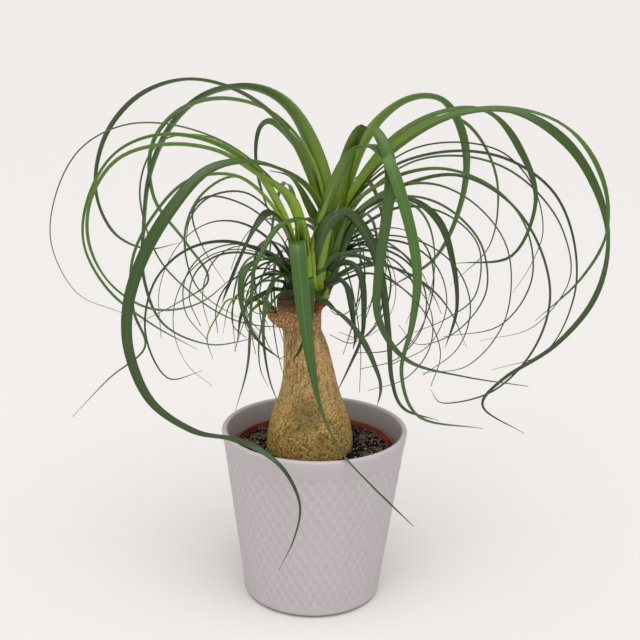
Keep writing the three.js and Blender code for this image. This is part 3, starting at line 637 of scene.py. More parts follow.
# Trunk: a swollen corky bulb that stores water, a fibrous neck, a sawn top with checked bark, and the stubs
# and knob that the heads of leaves grow from. It grew as one piece. Its skin is one remeshed body, and
# Geometry Nodes press the pits, fibres and plates into it.
TRUNK_SIDES = 96
STEPS_PER_STATION = 8
BARK_VOXEL = 0.85
STUB_SIDES = 40
STEPS_PER_MARK = 5
CROWN_CORES = {
    "left": [[-24, -4, 252], [-14, -6, 270], [-11, -6, 298]],
    "right": [[3.6, 1, 251], [10, 6, 285], [13, 8, 314]],
    "side": [[-35, -3, 240], [-38, -3, 244], [-41.5, -3, 249]],
}
CORE_RADII = {"left": [7, 7, 2.6], "right": [6, 7, 3], "side": [3.6, 3, 1.6]}
STUBS = {
    "left": [[3, -16, 10], [0, -6, 7.6], [0, 0, 7.2]],
    "right": [[-8, -25, 8.5], [-4, -9, 4.8], [0, -3, 5.2], [0, 0, 5.6]],
    "side": [[13, -9, 7], [4, -6, 5.4], [0, -2.5, 4.4], [0, 0, 4.2]],
}


def curve_at(points, place):
    """Smooth curve through evenly spaced points, at a place counted in gaps between them."""
    gap = min(int(place), len(points) - 2)
    t = place - gap
    start, end = points[gap], points[gap + 1]
    before = points[gap - 1] if gap > 0 else 2 * start - end
    after = points[gap + 2] if gap + 2 < len(points) else 2 * end - start
    return 0.5 * ((-t + 2 * t * t - t ** 3) * before + (2 - 5 * t * t + 3 * t ** 3) * start
                  + (t + 4 * t * t - 3 * t ** 3) * end + (-t * t + t ** 3) * after)


def bar(name, path, radii, sides):
    """A round bar along a path, its rings square to the path."""
    rings = []
    for index, point in enumerate(path):
        along = Vector(path[min(index + 1, len(path) - 1)] - path[max(index - 1, 0)])
        turn = np.array(Vector((0, 0, 1)).rotation_difference(along).to_matrix())
        rings.append(circle(radii[index], 0, sides) @ turn.T + point)
    return skin(name, rings)


def merge(name, pieces):
    """One object from several, which it takes the place of."""
    with bpy.context.temp_override(active_object=pieces[0], selected_editable_objects=pieces):
        bpy.ops.object.join()
    pieces[0].name = name
    return pieces[0]


def build_trunk():
    stations = np.array(TRUNK_STATIONS, dtype=float)
    gaps = len(stations) - 1
    places = np.linspace(0, gaps, gaps * STEPS_PER_STATION + 1)
    body = skin("trunk_body", [trunk_ring(curve_at(stations, place), 0, TRUNK_SIDES) for place in places])
    limbs = [body]
    for name, stub in STUBS.items():
        foot = np.array(CROWN_CORES[name][0], dtype=float)
        marks = np.array([[foot[0] + out, foot[1], foot[2] + up] for out, up, radius in stub])
        widths = np.array([[radius, 0, 0] for out, up, radius in stub], dtype=float)
        places = np.linspace(0, len(stub) - 1, STEPS_PER_MARK * (len(stub) - 1) + 1)
        path = [curve_at(marks, place) for place in places]
        limbs.append(bar("stub", path, [curve_at(widths, place)[0] for place in places], STUB_SIDES))
    whole = merge("trunk_bark", limbs)
    remesh = whole.modifiers.new("one skin", "REMESH")
    remesh.mode = "VOXEL"
    remesh.voxel_size = BARK_VOXEL * MM
    remesh.use_smooth_shade = True
    ease = whole.modifiers.new("ease", "SMOOTH")
    ease.factor = 0.5
    ease.iterations = 3
    return settle(whole)


# Three kinds of bark run into each other up the trunk: pitted cork on the bulb, upright fibres on the neck,
# and plates with checks between them on the top. Each is pressed in along the surface's own normal.
BARK_DEPTHS = {"Pit Depth": 0.5 * MM, "Fibre Depth": 0.4 * MM, "Plate Depth": 0.6 * MM}
NECK_RISE = (155 * MM, 190 * MM)
TOP_RISE = (222 * MM, 232 * MM)
PIT_SIZE = 2.6 * MM
STRAND_SIZE = 2.2 * MM
STRAND_STRETCH = (1.0, 1.0, 0.2)
PLATE_SIZE = 3 * MM
PLATE_STRETCH = (1.0, 1.0, 0.85)


def bark_tree():
    tree, given = geometry_tree("bark relief", BARK_DEPTHS)
    place = tree.nodes.new("GeometryNodeInputPosition").outputs["Position"]
    height = add(tree, "ShaderNodeSeparateXYZ", {"Vector": place}).outputs["Z"]
    neck, top = [add(tree, "ShaderNodeMapRange", {"Value": height, "From Min": start, "From Max": end},
                     interpolation_type="SMOOTHSTEP") for start, end in (NECK_RISE, TOP_RISE)]
    cork = add(tree, "ShaderNodeTexNoise", {"Vector": place, "Scale": 1 / PIT_SIZE, "Detail": 3.0,
                                            "Roughness": 0.6, "Distortion": 0.4})
    pit = add(tree, "ShaderNodeMapRange", {"Value": cork, "From Min": 0.5, "From Max": 0.36})
    upright = add(tree, "ShaderNodeVectorMath", {0: place, 1: STRAND_STRETCH}, operation="MULTIPLY")
    strand = add(tree, "ShaderNodeTexNoise", {"Vector": upright, "Scale": 1 / STRAND_SIZE, "Detail": 3.0,
                                              "Distortion": 0.8})
    fibre = add(tree, "ShaderNodeMapRange", {"Value": strand, "From Min": 0.52, "From Max": 0.38})
    squat = add(tree, "ShaderNodeVectorMath", {0: place, 1: PLATE_STRETCH}, operation="MULTIPLY")
    edge = add(tree, "ShaderNodeTexVoronoi", {"Vector": squat, "Scale": 1 / PLATE_SIZE, "Randomness": 0.9},
               feature="DISTANCE_TO_EDGE")
    check = add(tree, "ShaderNodeMapRange", {"Value": edge, "From Min": 0.16, "From Max": 0.02})
    low = add(tree, "ShaderNodeMath", {0: 1.0, 1: neck}, operation="SUBTRACT")
    between = add(tree, "ShaderNodeMath", {0: neck, 1: top}, operation="SUBTRACT")
    pits, fibres, checks = [add(tree, "ShaderNodeMath", {0: amount, 1: share}, operation="MULTIPLY")
                            for amount, share in ((pit, low), (fibre, between), (check, top))]
    kept = given["Geometry"]
    for name, shown in (("pit", pits), ("fibre", fibres)):
        kept = add(tree, "GeometryNodeStoreNamedAttribute", {"Geometry": kept, "Name": name, "Value": shown},
                   data_type="FLOAT", domain="POINT")
    sunk = 0.0
    for shown, depth in ((pits, "Pit Depth"), (fibres, "Fibre Depth"), (checks, "Plate Depth")):
        sunk = add(tree, "ShaderNodeMath", {0: shown, 1: given[depth], 2: sunk}, operation="MULTIPLY_ADD")
    inward = add(tree, "ShaderNodeMath", {0: sunk, 1: -1.0}, operation="MULTIPLY")
    normal = tree.nodes.new("GeometryNodeInputNormal").outputs["Normal"]
    offset = add(tree, "ShaderNodeVectorMath", {0: normal, "Scale": inward}, operation="SCALE")
    pressed = add(tree, "GeometryNodeSetPosition", {"Geometry": kept, "Offset": offset})
    close_tree(tree, pressed, given)
    return tree


# Cork bark is dry and matt. On the bulb it is ochre with dark pits, greener where it is young, and on the
# neck it is tan with darker fibres and a few smoky patches. The checked top is red-brown, grey-black on the
# old left stub and warm on the right one. One dark olive patch darkens the shaded left front of the bulb.
BARK_SPAN = (118 * MM, 262 * MM)
BARK_ENDS = ("#5b3f28", "#413a30")
BARK_BANDS = ((0.07, "#b18c45"), (0.25, "#be9950"), (0.42, "#c09b61"), (0.7, "#c8a26d"), (0.8, "#d09b6b"),
              (0.865, "#c48a60"), (0.9, "#4a3b2c"))
BARK_GREEN = "#8f8a45"
BARK_FLAKE = "#e0c88e"
BARK_DARK = "#54401f"
BARK_SMOKE = "#5f4f2c"
# colour of the dark olive patch on the shaded left front of the bulb
BARK_OLIVE_PATCH = "#5d5730"
BARK_WARM = "#8a5630"
BARK_CHECK = "#643a23"
BARK_PIT = "#5c4420"
BARK_FIBRE = "#6e4f2c"
BARK_MOTTLE = 13 * MM
BARK_GRAIN = 1.3 * MM
BARK_CLOUD = 21 * MM
CHECK_RISE = (219 * MM, 227 * MM)
STUB_RISE = (238 * MM, 246 * MM)
# middle and reach of the dark olive patch on the shaded left front of the bulb
OLIVE_PATCH_PLACE = (-6 * MM, -33 * MM, 163 * MM)
OLIVE_PATCH_INNER = 6 * MM
OLIVE_PATCH_OUTER = 21 * MM
STUB_SPLIT = (-8 * MM, 0.0)


def cork_bark():
    finish, tree, shader, place = new_finish("corky bark")
    apart = add(tree, "ShaderNodeSeparateXYZ", {"Vector": place}).outputs
    height = apart["Z"]
    pit, fibre = [add(tree, "ShaderNodeAttribute", attribute_name=name).outputs["Fac"]
                  for name in ("pit", "fibre")]
    mottle, grain, cloud = [
        add(tree, "ShaderNodeTexNoise", {"Vector": place, "Scale": 1 / size, "Detail": detail})
        for size, detail in ((BARK_MOTTLE, 4.0), (BARK_GRAIN, 3.0), (BARK_CLOUD, 2.0))]
    squat = add(tree, "ShaderNodeVectorMath", {0: place, 1: PLATE_STRETCH}, operation="MULTIPLY")
    edge = add(tree, "ShaderNodeTexVoronoi", {"Vector": squat, "Scale": 1 / PLATE_SIZE, "Randomness": 0.9},
               feature="DISTANCE_TO_EDGE")
    # the dark olive patch: full within a small ball on the shaded left front of the bulb, fading out further
    # away
    offset = add(tree, "ShaderNodeVectorMath", {0: place, 1: OLIVE_PATCH_PLACE}, operation="SUBTRACT")
    away = add(tree, "ShaderNodeVectorMath", {0: offset}, operation="LENGTH").outputs["Value"]
    stained = add(tree, "ShaderNodeMapRange",
                  {"Value": away, "From Min": OLIVE_PATCH_OUTER, "From Max": OLIVE_PATCH_INNER},
                  interpolation_type="SMOOTHSTEP")
    up, calm, high, top = [
        add(tree, "ShaderNodeMapRange",
            {"Value": height, "From Min": start, "From Max": end, "To Min": low, "To Max": most})
        for (start, end), low, most in ((BARK_SPAN, 0.0, 1.0), (TOP_RISE, 1.0, 0.35), (STUB_RISE, 0.0, 0.7),
                                        (CHECK_RISE, 0.0, 1.0))]
    bands = add(tree, "ShaderNodeValToRGB", {"Fac": up})
    ramp = bands.color_ramp.elements
    for spot, tint in zip(ramp, BARK_ENDS):
        spot.color = linear(tint)
    for where, tint in BARK_BANDS:
        ramp.new(where).color = linear(tint)
    colour = coated(tree, bands, [
        (BARK_GREEN, mottle, 0.5, 0.72, 0.5),
        (BARK_FLAKE, grain, 0.52, 0.66, 0.75, calm),
        (BARK_DARK, grain, 0.46, 0.34, 0.65, calm),
        (BARK_SMOKE, cloud, 0.57, 0.72, 0.55),
        # the dark olive patch on the shaded left front of the bulb
        (BARK_OLIVE_PATCH, stained, 0.0, 1.0, 0.6),
        (BARK_WARM, apart["X"], *STUB_SPLIT, 1.0, high),
        (BARK_CHECK, edge, 0.13, 0.03, 0.9, top),
        (BARK_PIT, pit, 0.0, 1.0, 0.85),
        (BARK_FIBRE, fibre, 0.0, 1.0, 0.8),
    ])
    shader.inputs["Roughness"].default_value = 0.85
    shader.inputs["Specular IOR Level"].default_value = 0.3
    bump = add(tree, "ShaderNodeBump", {"Height": grain, "Strength": 0.55, "Distance": 0.5 * MM})
    wire(tree, shader, {"Base Color": colour, "Normal": bump})
    return finish


trunk = build_trunk()
run_tree(trunk, bark_tree(), material=cork_bark())
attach(trunk, "root")
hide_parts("trunk")


# Heads of leaves: a ponytail palm's leaves are long, thin, channelled straps that grow in a spiral round
# each shoot, arch over and curl down to a thread. Each leaf is a line, listed one by one or laid by rule as
# in the solids, and Geometry Nodes sweep every line into a blade, folded near the root and flatter at the
# tip.


# A laid leaf's row holds its direction, swing, width, turns, root height and the points that it runs
# through: how far out and up from the heart of its head each lies, and its own direction if it has one.
LAID_LEAVES = {
    "left": [
        [184, 10, 8, [-60, -58, -51, -34, -23, -33, -44, -50, -60], 10, [[14, 48], [36, 83], [68, 103],
          [106, 108], [138, 95], [158, 64], [163, 28], [146, -7], [115, -34], [80, -56]]],
        [190, 0, 9.8, [-70, -78, -80, -70, -47, -38, -30, -34, -38, -37, -34, -32, -32, -35, -40], 8,
          [[-4, 22, 210], [1, 44], [7, 59, 188], [18, 69, 188], [32, 78, 191], [64, 97, 193],
          [102, 102, 193], [136, 92, 193], [156, 64, 193], [159, 30, 193], [144, -2, 193], [114, -22, 193],
          [78, -19, 193], [46, 6, 193]]],
        [174, 4, 2.6, [-60, -40], 14, [[4, 46], [20, 72], [54, 99], [96, 113], [136, 112], [170, 93],
          [190, 58], [195, 18], [176, -20], [140, -35]]],
        [164, 0, 2.4, [-30, -70], 12, [[8, 52, 164], [36, 84, 166], [74, 104, 168], [112, 98, 170],
          [127, 60, 172], [112, 12, 176], [82, -18, 180], [56, -32, 190], [38, -35, 211], [31, -34, 238],
          [28, -34, 271], [29, -32, 297]]],
        [252, 64, 16, [0, 0, 0, 0, 30, 45, 35, 20, 10], 8, [[11, 26], [23, 27], [32, -8], [37, -55],
          [50, -93], [72, -121], [96, -142], [126, -168]]],
        [286, 0, 9.5, [0, 20], -10, [[17, 0], [27, 3, 287], [32, -12, 287], [34, -33, 286], [33, -42, 279],
          [33, -52, 272], [34, -58, 264]]],
        [184, 6, 5, [-40, -45, -50, -85, -85], 8, [[16, 46], [46, 76], [84, 74], [112, 46], [128, 12],
          [128, -26], [120, -56], [148, -80], [177, -110]]],
        [166, 0, 3.6, [-50, -60], 8, [[18, 48], [50, 74], [82, 56], [95, 20], [82, -20], [38, -44]]],
        [158, 0, 3.4, [-40, -70], 6, [[16, 38], [44, 60], [76, 56], [96, 36], [101, 8]]],
        [148, 0, 3.4, [-40, -70], 4, [[20, 30], [50, 48], [88, 52], [106, 36], [96, 10], [72, -18]]],
        [206, 0, 4.5, [-50, -70], -8, [[24, 16], [58, 31], [92, 27], [117, 4], [124, -34], [108, -70],
          [80, -68]]],
        [224, 0, 9.5, [25, 25, 28, 45, 52, 52, 55], 4, [[8, 30, 202], [21, 47, 219], [36, 53, 227],
          [51, 44, 230], [64, 27, 230], [75, 7, 229], [81, -7, 228]]],
        [214, 20, 7.5, [-40, -40, 40, 50, 55, 60], -4, [[28, 16], [54, 10], [58, -18], [44, -44],
          [20, -64]]],
        [212, 0, 6.5, [20, 40, 60, 60], -14, [[26, -10], [48, -20], [54, -45]]],
        [106, 0, 6.5, [-20, -40], 4, [[12, 40], [34, 62], [62, 60], [88, 36], [104, 4], [110, -32]]],
    ],
    "right": [
        [160, 0, 7.5, [-85, -62, -27, -62, -60, -60], 8, [[20, 60], [44, 98], [80, 121], [124, 128],
          [168, 113], [200, 79], [211, 35], [196, 0], [165, -12], [132, -4]]],
        [148, 8, 16, [-92, -96, -64, -20, -7, 2, 14, 12, 12, 3, -20], 15, [[14, 68], [40, 108], [76, 122],
          [118, 114], [152, 86], [172, 46], [178, 2], [178, -42], [158, -80], [112, -91], [67, -79]]],
        [157, -8, 5.5, [-50, -60], 10, [[16, 68], [50, 104], [96, 114], [140, 102], [170, 70], [170, 26],
          [140, -8], [118, -38], [152, -64], [203, -93]]],
        [205, 0, 12, [-20, 5, 55, 70, 50, 56, 60, 60], 16, [[23, 54, 203], [60, 73, 206], [100, 70, 206],
          [132, 40, 206], [152, 6, 205], [164, -28, 206], [164, -62, 207], [152, -97, 211], [128, -118, 219],
          [110, -122, 231], [104, -129, 243], [104, -143, 254], [104, -168, 260], [101, -198, 257],
          [98, -226, 250]]],
        [128, 0, 9, [10, 20, 30, 60, 130, 140, 140], 14, [[12, 46], [46, 78], [82, 94], [103, 82], [103, 48],
          [77, 5]]],
        [159, 0, 9, [75, 75, 65, 45, 15, 0], 2, [[14, 27, 159], [21, 40, 160], [28, 51, 161], [37, 59, 161],
          [52, 62, 162]]],
        [28, 0, 13.5, [75, 95, 80, 50, 20, 55, 60, 50, 45], 6, [[12, 50], [32, 92], [64, 116], [98, 114],
          [120, 80], [120, 36], [98, -10], [53, -33]]],
        [305, 0, 12.5, [30, 30, 10, -40, -50, -50, -50, -25, 0, 0], 8, [[14, 66, 310], [36, 102, 312],
          [58, 79, 316], [60, 39, 313], [57, 0, 310], [58, -40, 311], [77, -71, 322], [117, -80, 332],
          [163, -84, 338]]],
        [216, 0, 14.5, [-55, -50, -35, -5, 0, -50, -50, -30, -20, -30, -40], -22, [[13, -5, 206],
          [10, 18, 212], [8, 46, 262], [26, 84, 311], [56, 82, 314], [76, 42, 317], [84, 0, 320],
          [78, -42, 323], [68, -84, 326], [84, -118, 329], [134, -119, 333]]],
        [236, 0, 14.5, [10, -5, -10, -20, -5, 30, 90, 125, 125, 125, 125, 125, 125, 125], -30,
          [[17, -9, 223],
          [19, 5, 233], [19, 16, 246], [19, 27, 260], [19, 34, 276], [23, 36, 299], [31, 27, 317],
          [40, 9, 326], [46, -18, 332], [52, -58, 334], [56, -94, 334], [68, -115, 332], [98, -119, 332]]],
        [240, 0, 6.5, [-40, -40, -5, 35, 55, 60, 60, 60, 60, 60], -24, [[17, -13, 236], [16, -4, 258],
          [18, 2, 283], [24, 4, 304], [31, 3, 316], [40, -2, 323], [52, -10, 327], [64, -18, 330],
          [76, -26, 332]]],
        [216, 0, 9, [-20, -20, -10, 5, 8, 8, 5, 5, 10, 15, 20], 4, [[13, 20, 221], [29, 31, 230],
          [41, 32, 230], [54, 29, 226], [66, 21, 227], [75, 11, 228], [83, -1, 228], [86, -35, 228],
          [94, -70, 231], [111, -99, 233]]],
        [14, 0, 12, [-16, -5, -10, -9, -18, -100, -80, -90, -90], 14, [[20, 52], [48, 88], [84, 108],
          [122, 109], [152, 80], [168, 38], [151, -6], [104, -11]]],
        [-14, 0, 8.5, [-57, -57, -48, -26, -11, -12, -75, -50, -90, -90], 12, [[16, 48], [44, 84], [84, 110],
          [130, 119], [172, 108], [200, 76], [208, 34], [192, -4], [161, -39]]],
        [0, 0, 11, [-41, -31, -18, -10, -22, -80, -77, -40, -80, -90, -95, -95, -95], 8, [[16, 44], [46, 80],
          [88, 107], [132, 113], [172, 95], [200, 60], [214, 16], [208, -30], [180, -70], [140, -100],
          [126, -124], [161, -146]]],
        [36, 0, 5, [54, 60], 14, [[18, 44], [50, 78], [88, 98], [126, 98], [156, 74], [174, 36], [168, -12],
          [125, -42]]],
        [18, 0, 4.2, [50, 60], 10, [[22, 46], [56, 70], [104, 78], [150, 69], [190, 42], [212, 0],
          [216, -48], [194, -94], [144, -107]]],
        [32, 0, 3.2, [50, 60], 6, [[28, 42], [70, 66], [116, 70], [164, 59], [206, 34], [240, -4],
          [252, -50], [214, -88], [154, -93]]],
        [-30, 0, 4.4, [50, 60], 8, [[20, 42], [54, 66], [94, 76], [134, 66], [160, 40], [166, 2], [144, -34],
          [100, -50]]],
        [-22, 0, 4.6, [50, 60], 6, [[20, 34], [56, 58], [98, 70], [136, 56], [162, 26], [174, -14],
          [164, -56], [136, -92], [98, -108], [86, -98]]],
        [-40, 0, 3.4, [50, 60], 4, [[24, 36], [60, 60], [100, 67], [138, 54], [162, 26], [162, -20],
          [134, -60], [93, -76]]],
        [8, 0, 11, [-20, -10, -8, -68, -95, -100, -100], 0, [[24, 33], [56, 43], [84, 26], [98, -8],
          [103, -46], [95, -79]]],
        [42, 0, 3.2, [50, 60], 0, [[30, 24], [70, 37], [112, 30], [152, 8], [180, -22], [186, -62],
          [152, -90], [104, -94], [78, -72]]],
        [-32, 0, 3.4, [50, 60], 0, [[26, 24], [60, 44], [98, 44], [126, 24], [126, -12], [104, -34],
          [77, -50]]],
        [293, 0, 4.6, [50, 50, 60, 65, 70, 70, 70, 70], -26, [[15, -15, 293], [24, -7, 312], [36, -2, 323],
          [50, -3, 331], [66, -9, 337], [82, -21, 340], [91, -38, 341]]],
        [22, 0, 3.4, [50, 60], -22, [[36, -12], [66, -20], [92, -38], [110, -60], [124, -88]]],
        [-38, 0, 3, [50, 60], -26, [[34, -10], [66, -14], [92, -32], [106, -58], [99, -86]]],
        [46, 0, 2.8, [50, 60], -8, [[30, 6], [60, 2], [88, -14], [112, -34], [128, -60]]],
        [22, 0, 2.4, [50, 60], 8, [[24, 50], [62, 78], [106, 84], [148, 74], [178, 45], [190, 8], [180, -22],
          [165, -44]]],
        [288, 0, 8, [40, 55, 80, 130, 145, 145, 140, 145, 145], -18, [[17, -6, 288], [28, -2, 299],
          [37, -6, 305], [42, -18, 307], [45, -38, 306], [45, -57, 304], [42, -78, 294], [39, -105, 278]]],
        [64, 0, 7, [24, 40], 4, [[14, 34], [34, 52], [62, 50], [88, 28], [104, -6], [108, -44]]],
        [92, 0, 6.5, [-20, -40], 2, [[10, 30], [30, 44], [58, 40], [84, 18], [98, -14], [96, -50]]],
        [273, 0, 10, [20, 50, 90, 150, 155, 150, 150, 150], -26, [[16, -20, 273], [24, -16, 287],
          [31, -21, 294], [35, -31, 297], [38, -44, 299], [40, -57, 301], [39, -67, 299]]],
        [250, 0, 9.5, [25, 70, 75, 80, 90, 106, 140, 145, 145, 145, 145], -28, [[21, -32, 243],
          [25, -33, 260], [32, -38, 278], [40, -44, 290], [48, -53, 298], [55, -63, 303], [61, -75, 306],
          [65, -86, 308], [66, -96, 308], [65, -106, 306]]],
    ],
    "side": [
        [190, 0, 4, [-30, -60], 4, [[10, 4], [30, 6], [38, -4], [48, -24], [44, -42]]],
        [224, 0, 3.2, [-30, -60], 3, [[10, 2], [24, -8], [34, -30]]],
        [150, 0, 3, [-30, -60], 5, [[8, 6], [24, 8], [38, -6], [44, -30]]],
    ],
}


# Leaves laid by rule: the older, thinner and lower ones that fill each head all round, in bands: their head,
# how many, from which direction to which, and their own lengths and bends. Those at the back are longer.
RULE_LEAVES = [
    ["left", 8, 68, 132, [150, 250], [130, 200]],
    ["left", 14, 132, 256, [90, 175], [150, 260]],
    ["right", 9, -12, 48, [140, 230], [150, 250]],
    ["right", 10, 48, 118, [150, 250], [130, 200]],
]
RULE = {
    "lift": [0, 50], "width": [2.6, 5.4], "root": [-12, 6], "scatter": 5, "swing": 40, "root_turn": 60,
    "tip_turn": 160, "droop": 1.25, "gaps": 6, "ages": [0.45, 0.95],
}
TRAITS = ["direction", "swing", "width", "root_turn", "tip_turn", "lift", "length", "bend", "root"]
SEED_PER_BAND = 1000
SEED_PER_LEAF = 10
CLEAR_LEAF = 4.5
CLEAR_TRUNK = 8
CLEAR_POT_RADIUS = 82
CLEAR_POT_HEIGHT = 152
CLEAR_TRIES = 40
CLEAR_SWING = 3
CLEAR_SHORTEN = 0.985
CLEAR_POINTS_PER_GAP = 6
ROOT_SUNK = 2.5
ROOT_FROM_FOOT = 5
ROOT_FROM_TIP = 2
TAPER = 0.7
NUDGE = 0.05
YOUTH_RISE = [35, 65]
YOUTH_TOP = [48, 84]


def draw(seed, trait="direction"):
    """An even draw from 0 to 1 for one trait of a seeded leaf, the same on every run."""
    value = math.sin((seed + TRAITS.index(trait)) * 12.9898 + 4.1414) * 43758.5453
    return value - math.floor(value)


def between(limits, share):
    return limits[0] + (limits[1] - limits[0]) * share


def pointing(angle):
    return np.array([math.cos(angle), math.sin(angle), 0.0])


def core_at(crown, height):
    """Middle and radius of a head's green core at a height."""
    core = np.array(CROWN_CORES[crown], dtype=float)
    upper = 1 if height < core[1][2] else 2
    share = (height - core[upper - 1][2]) / (core[upper][2] - core[upper - 1][2])
    middle = core[upper - 1] + (core[upper] - core[upper - 1]) * share
    return middle, between(CORE_RADII[crown][upper - 1:upper + 1], share)


def leaf_course(leaf):
    """The points that a leaf arches through, from its root in the core, and its direction at each."""
    foot, heart, tip = np.array(CROWN_CORES[leaf["crown"]], dtype=float)
    root_height = min(max(heart[2] + leaf["root"], foot[2] + ROOT_FROM_FOOT), tip[2] - ROOT_FROM_TIP)
    middle, radius = core_at(leaf["crown"], heart[2] if leaf["crown"] == "side" else root_height)
    toward = math.radians(leaf["toward"])
    points = [middle + pointing(toward) * max(radius - ROOT_SUNK, 1)]
    angles = [toward]
    for index, mark in enumerate(leaf["route"]):
        swung = leaf["toward"] + leaf["swing"] * (index + 1) / len(leaf["route"])
        angle = math.radians(mark[2] if len(mark) > 2 else swung)
        points.append(heart + pointing(angle) * mark[0] + np.array([0, 0, mark[1]]))
        angles.append(angle)
    return np.array(points), angles


def turn_at(turns, share):
    """The blade's turn in degrees, eased between the turns given at even steps."""
    place = share * (len(turns) - 1)
    step = min(int(place), len(turns) - 2)
    return between(turns[step:step + 2], place - step)


def middle_line(leaf):
    """Points along a leaf and its half width there, to tell whether it clears its neighbours."""
    points, _ = leaf_course(leaf)
    steps = CLEAR_POINTS_PER_GAP * (len(points) - 1)
    line = np.array([curve_at(points, step / CLEAR_POINTS_PER_GAP) for step in range(steps + 1)])
    return line, 0.5 * leaf["width"] * (1 - np.arange(steps + 1) / steps) ** TAPER


def clears_leaf(one, other):
    apart = np.linalg.norm(one[0][:, None] - other[0][None], axis=2)
    return bool(np.all(apart > one[1][:, None] + other[1][None] + CLEAR_LEAF))


def clears_holder(one):
    """Whether a leaf clears the pot and the trunk."""
    for at, half in zip(*one):
        if at[2] < CLEAR_POT_HEIGHT and math.hypot(at[0], at[1]) < CLEAR_POT_RADIUS + half:
            return False
        above = [station for station in TRUNK_STATIONS if station[0] > at[2]]
        if above and len(above) < len(TRUNK_STATIONS):
            _, sideways, radius = above[0]
            if math.hypot(at[0] - sideways, at[1] - TRUNK_DEPTH) <= radius + half + CLEAR_TRUNK:
                return False
    return True


def rule_route(root, lift, length, bend, rule):
    """A leaf by rule sets off at its lift, then bends over and down more and more along its length."""
    route = []
    out, up = 0.0, root
    for gap in range(rule["gaps"]):
        angle = math.radians(lift - bend * ((gap + 0.5) / rule["gaps"]) ** rule["droop"])
        out += length / rule["gaps"] * math.cos(angle)
        up += length / rule["gaps"] * math.sin(angle)
        route.append([out, up])
    return route


def rule_leaf(crown, seed, toward, length, bends, rule):
    root = between(rule["root"], draw(seed, "root"))
    lift = between(rule["lift"], draw(seed, "lift"))
    bend = between(bends, draw(seed, "bend"))
    turns = [rule["root_turn"] * (draw(seed, "root_turn") - 0.5),
             rule["tip_turn"] * (draw(seed, "tip_turn") - 0.5)]
    return {"crown": crown, "toward": toward, "swing": rule["swing"] * (draw(seed, "swing") - 0.5),
            "width": between(rule["width"], draw(seed, "width")), "turns": turns, "root": root,
            "route": rule_route(root, lift, length, bend, rule), "youth": 0.0, "ages": rule["ages"]}


def grow_by_rule(rows, rule, first_seed, lines, fits):
    """Leaves by rule, each swung to this side and that and shortened until it clears."""
    grown = []
    for band, (crown, count, start, end, lengths, bends) in enumerate(rows):
        rivals = [line for other, line in lines if other != crown]
        for index in range(count):
            seed = first_seed + band * SEED_PER_BAND + index * SEED_PER_LEAF
            toward = between([start, end], (index + 0.5) / count) + rule["scatter"] * (draw(seed) - 0.5)
            length = between(lengths, draw(seed, "length"))
            for attempt in range(CLEAR_TRIES):
                swung = CLEAR_SWING * math.ceil(attempt / 2) * (1 if attempt % 2 else -1)
                leaf = rule_leaf(crown, seed, toward + swung, length * CLEAR_SHORTEN ** attempt, bends, rule)
                line = middle_line(leaf)
                if fits(line) and clears_holder(line) and all(clears_leaf(line, rival) for rival in rivals):
                    grown.append(leaf)
                    lines.append((crown, line))
                    break
    return grown


# A laid leaf is younger the steeper it sets off and the higher it stands. Young leaves are bright at their
# base, and thin ones look older.
def youth_of(root, route):
    rise = math.degrees(math.atan2(route[0][1] - root, route[0][0]))
    top = max(mark[1] for mark in route)
    return share_of(YOUTH_RISE, rise) * share_of(YOUTH_TOP, top)


SHOOT_YOUTH = 0.8
LAID_AGES = [[0.45, 0.0], [0.8, 0.25]]
THIN_AGE = 0.45
FULL_WIDTH = 8
laid = []
for crown, rows in LAID_LEAVES.items():
    for toward, swing, width, turns, root, route in rows:
        youth = SHOOT_YOUTH if crown == "side" else youth_of(root, route)
        thinness = 1 - min(width / FULL_WIDTH, 1)
        ages = [between(limits, youth) + THIN_AGE * thinness for limits in LAID_AGES]
        laid.append({"crown": crown, "toward": toward, "swing": swing, "width": width, "turns": turns,
                     "root": root, "route": route, "youth": youth, "ages": ages})
leaf_lines = [(leaf["crown"], middle_line(leaf)) for leaf in laid]
ruled = grow_by_rule(RULE_LEAVES, RULE, 0, leaf_lines, lambda line: True)


# Extra curls: the many thin old leaves that hang in loops beside and behind each head, in bands like those
# of the leaves laid by rule. They stay inside the solids' own box.
CURL_LEAVES = [
    ["left", 8, 110, 236, [100, 230], [200, 360]],
    ["right", 4, 30, 84, [130, 250], [200, 360]],
]
CURLS = {
    "lift": [-6, 60], "width": [1.0, 2.4], "root": [-14, 4], "scatter": 9, "swing": 60, "root_turn": 60,
    "tip_turn": 200, "droop": 1.15, "gaps": 8, "ages": [0.75, 1.0],
}
CURL_SEED = 20000
BOX_MARGIN = 4


def inside_box(line):
    """Whether a leaf stays inside the solids' own box, which keeps the whole no larger than it is."""
    low = np.array(cad_box[0]) / MM + BOX_MARGIN
    high = np.array(cad_box[1]) / MM - BOX_MARGIN
    return bool(np.all(line[0] > low) and np.all(line[0] < high))


curls = grow_by_rule(CURL_LEAVES, CURLS, CURL_SEED, list(leaf_lines), inside_box)


# The blade's own shape: how finely it is sampled, how it clasps the shoot at its root, how deep its channel
# is there and further on, how it narrows to its tail, and how thin its tip is.
BLADE_STEPS_PER_GAP = 7
BLADE_SIDES = 10
THICKNESS = 0.32
CLASP_HALF = [2.4, 4.6]
CLASP_LENGTH = 15
TURN_EASE = 24
FOLD_ROOT = 0.6
FOLD_TIP = 0.36
FOLD_LENGTH = 110
FOLD_CURVE = 1.35
THREAD = 0.45
THREAD_TAPER = 0.6
TAIL_LENGTH = 120
TAIL_SHARE = 0.4
TAIL_START = 0.75
TAIL_EASE = 0.6
TAIL_WIDTHS = {"left": 0.45, "right": 0.85}
TAIL_HALF = 1.25
GLOW_LENGTH = 74
GLOW_FALL = 1.6
AGING = 0.35
DRY_FROM = [0.91, 0.99]
DRY_SHARE = 0.05


